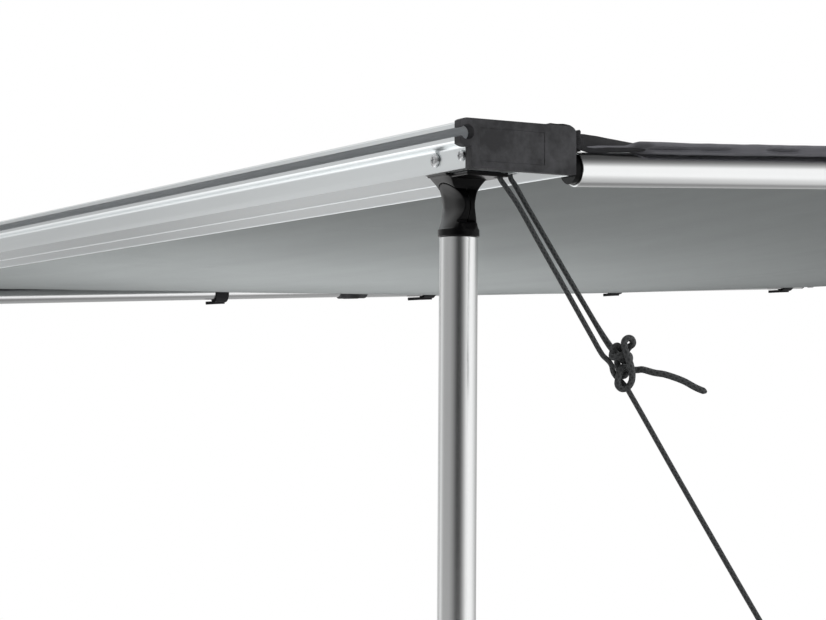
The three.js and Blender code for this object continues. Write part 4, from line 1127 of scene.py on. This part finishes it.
def make_corner_strap(side, word):
    """The tape over the cap's rear top corner. Past it the outer edge drops, and its end is sewn under the hem."""
    node = f"corner_strap_{word}"
    x = side * (HALF - 0.018)
    route = [at_front(x, s, z) for s, z in (
        (0.074, 0.0379), (0.080, 0.0377), (0.086, 0.0381), (0.0915, 0.0375), (0.0965, 0.0366), (0.1005, 0.0333),
        (0.1045, 0.0290), (0.111, 0.0272), (0.122, 0.0270), (0.131, 0.0273), (0.140, 0.0272), (0.149, 0.0273),
        (0.160, 0.0274), (0.170, 0.0276),
    )]

    def droop(share):
        """How far the tape has rolled over at a share of its length."""
        start = clamp((share - 0.19) / 0.12)
        end = max(0, (share - 0.50) / 0.50)
        eased = start * start * (3 - 2 * start)
        return side * math.radians(41 * eased - 25 * end)

    path = smooth_path(route, 0.0012)
    made = swept(node + "_finished", path, ribbon(0.0248, 0.0018), first_side=(1, 0, 0), roll=droop)
    wad = [at_front(x, s, z) for s, z in (
        (0.0980, 0.0342), (0.0990, 0.0312), (0.0996, 0.0275), (0.0992, 0.0236), (0.0984, 0.0202),
    )]
    tuck = swept(
        node + "_tuck", smooth_path(wad, 0.0010), ribbon(0.0244, 0.0100), first_side=(1, 0, 0),
        swell=lambda share: 1 + 0.06 * math.sin(14 * share),
    )
    for tape in (made, tuck):
        coated(tape, WEBBING_FINISH)
        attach(tape, BODY_OF[node])
    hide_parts(node)


for side, word in SIDES:
    for number in range(1, 6):
        make_strap(side, word, number)
    make_corner_strap(side, word)


# Every other node keeps its shape, with its edges rounded

USUAL_EDGE = 0.0004
EDGE_WIDTH = {
    "front_rail_cap_right": 0.0007, "front_rail_cap_left": 0.0007, "mounting_rail": 0.0005,
    "rack_bracket_right": 0.0006, "rack_bracket_left": 0.0006,
}
rounded_rail("front_rail", 0.0007)
for node, made in frame["nodes"].items():
    if not made.hide_render:
        dressed(node, FINISH_OF_SLOT[SLOT_OF[node]], EDGE_WIDTH.get(node, USUAL_EDGE))


# Stage

def seen_share(finish):
    """1 for the camera, for reflections and through clear pieces, and 0 for light."""
    camera, glossy, clear = (
        finish.node("ShaderNodeLightPath", output=ray)
        for ray in ("Is Camera Ray", "Is Glossy Ray", "Is Transmission Ray")
    )
    return camera.larger(glossy).larger(clear)


class Sky(Finish):
    """The world's nodes, made like a finish's."""

    def __init__(self):
        world = bpy.data.worlds.new("studio")
        bpy.context.scene.world = world
        world.use_nodes = True
        self.tree = world.node_tree
        self.shader = self.tree.nodes["Background"]


SKY_LEVEL = 0.17
FLOOR_HALF = 9
FLOOR_Y = -1.3


def make_sky():
    sky = Sky()
    seen = seen_share(sky)
    sky.set("Color", (1, 1, 1, 1))
    sky.set("Strength", SKY_LEVEL + seen * (1 - SKY_LEVEL))


def make_floor():
    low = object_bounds()[0].z
    corners = [
        (x * FLOOR_HALF, FLOOR_Y + y * FLOOR_HALF, low) for x, y in ((-1, -1), (1, -1), (1, 1), (-1, 1))
    ]
    floor = piece("floor", corners, [(0, 1, 2, 3)])
    finish = Finish("studio_floor", Roughness=0.9, Base_Color=(0.86, 0.86, 0.86, 1))
    white = finish.node("ShaderNodeEmission", inputs={"Color": (1, 1, 1, 1), "Strength": 1.0})
    spot = finish.node("ShaderNodeVectorMath", {"operation": "SUBTRACT"}, {
        0: finish.node("ShaderNodeTexCoord", output="Object"), 1: (0, FLOOR_Y, low),
    })
    away = finish.node("ShaderNodeVectorMath", {"operation": "LENGTH"}, {0: spot}, output=1)
    far = finish.ramp((away - 2.2) / 4.5, (0.0, 0.0), (1.0, 1.0))
    seen = seen_share(finish)
    lit = Shade(finish, finish.shader.outputs[0])
    shown = finish.node("ShaderNodeMixShader", inputs={0: (far * 0.3 + 0.7) * seen, 1: lit, 2: white})
    out = finish.tree.nodes["Material Output"]
    finish.feed(out.inputs["Surface"], shown)
    floor.data.materials.append(finish.material)


def make_lamp(name, spot, aim, size, power, spread=180):
    data = bpy.data.lights.new(name, "AREA")
    data.shape = "SQUARE"
    data.size = size
    data.energy = power
    data.spread = math.radians(spread)
    lamp = bpy.data.objects.new(name, data)
    bpy.context.scene.collection.objects.link(lamp)
    lamp.location = spot
    lamp.rotation_euler = (Vector(aim) - Vector(spot)).to_track_quat("-Z", "Y").to_euler()
    lamp.visible_glossy = False


# How light the wall of cards is at each bearing, in degrees from +X towards +Y: level with the awning, and high up
WALL_LEVELS = (
    (-180, 0.80), (-163, 0.36), (-160, 0.38), (-156, 0.62), (-152, 0.74), (-146, 0.77), (-120, 0.36),
    (-78, 0.35), (-58, 0.24), (-44, 0.10), (-32, 0.03), (-16, 0.04), (-2, 0.22), (12, 0.55), (26, 1.0),
    (60, 0.97), (82, 0.73), (94, 0.57), (108, 0.42), (140, 0.50), (149, 0.64), (155, 0.62), (160, 0.38),
    (164, 0.36), (180, 0.80),
)
HIGH_LEVELS = ((-180, 1.25), (-100, 1.25), (-60, 0.2), (-30, 0.06), (120, 0.06), (150, 0.25), (165, 1.15), (180, 1.25))
GROUND_SHARES = ((-180, 1.0), (90, 1.0), (112, 0.36), (165, 0.36), (176, 1.0), (180, 1.0))
GLINT_LEVELS = ((-180, 0.7), (-134, 0.7), (-112, 0.0), (168, 0.0), (176, 0.7), (180, 0.7))
GLOW = 4.0


def make_cards(centre, radius, low, high):
    """Cards all round the corner of the awning, over it and on the floor, that only shiny surfaces see."""
    sides = 96
    points = [(a, b, z) for z in (low, high) for a, b in circle(radius, sides)]
    faces = ring_faces(2, sides) + [tuple(range(sides)), tuple(range(sides, 2 * sides))]
    cards = piece("studio_cards", points, faces)
    cards.location = centre
    finish = Finish("studio_cards")
    x, y, z = finish.parts(finish.node("ShaderNodeTexCoord", output="Object"))
    bearing = y.math("ARCTAN2", y, x) / (2 * math.pi) + 0.5
    wall, sky, shaded, glint = (
        finish.ramp(bearing, *((angle / 360 + 0.5, light) for angle, light in levels))
        for levels in (WALL_LEVELS, HIGH_LEVELS, GROUND_SHARES, GLINT_LEVELS)
    )
    rise = finish.ramp(z / high, (0.16, 0.0), (0.24, 0.27), (0.335, 0.54), (0.52, 0.81), (0.76, 0.95), (1.0, 1.0))
    away = (x * x + y * y) ** 0.5 / radius
    ground = finish.ramp(away, (0.06, 0.33), (0.21, 0.44), (0.295, 0.55), (0.43, 0.78), (0.57, 1.0), (1.0, 1.0))
    on_ground = finish.ramp(z / low, (0.96, 0.0), (0.99, 1.0))
    level = wall + (sky - wall) * rise
    patch = finish.ramp(away, (0.22, 0.0), (0.32, 1.0), (0.60, 1.0), (0.72, 0.0))
    level = level + (ground * shaded + glint * patch - level) * on_ground
    dark, light = (
        finish.node("ShaderNodeEmission", inputs={"Color": (1, 1, 1, 1), "Strength": strength})
        for strength in (0.0, GLOW)
    )
    glow = finish.node("ShaderNodeMixShader", inputs={0: level / GLOW, 1: dark, 2: light})
    finish.feed(finish.tree.nodes["Material Output"].inputs["Surface"], glow)
    cards.data.materials.append(finish.material)
    for ray in ("camera", "diffuse", "shadow", "transmission", "volume_scatter"):
        setattr(cards, "visible_" + ray, False)


make_sky()
make_floor()
make_lamp("front_softbox", (-0.6, -6.2, -1.0), (-0.2, -1.9, -0.15), 2.4, 28)
make_lamp("side_softbox", (4.8, 0.6, 1.4), (1.2, -2.2, -0.3), 2.2, 110)
make_lamp("top_softbox", (0.3, -1.5, 3.4), (0.2, -1.5, 0), 2.0, 60)
make_lamp("low_softbox", (-0.10, -1.98, -1.15), (-0.12, -1.95, 0), 0.8, 3.6, 100)
make_cards((1.19, -2.49, 0), 6, -2.12, 9)
bpy.context.scene.view_settings.view_transform = "Standard"
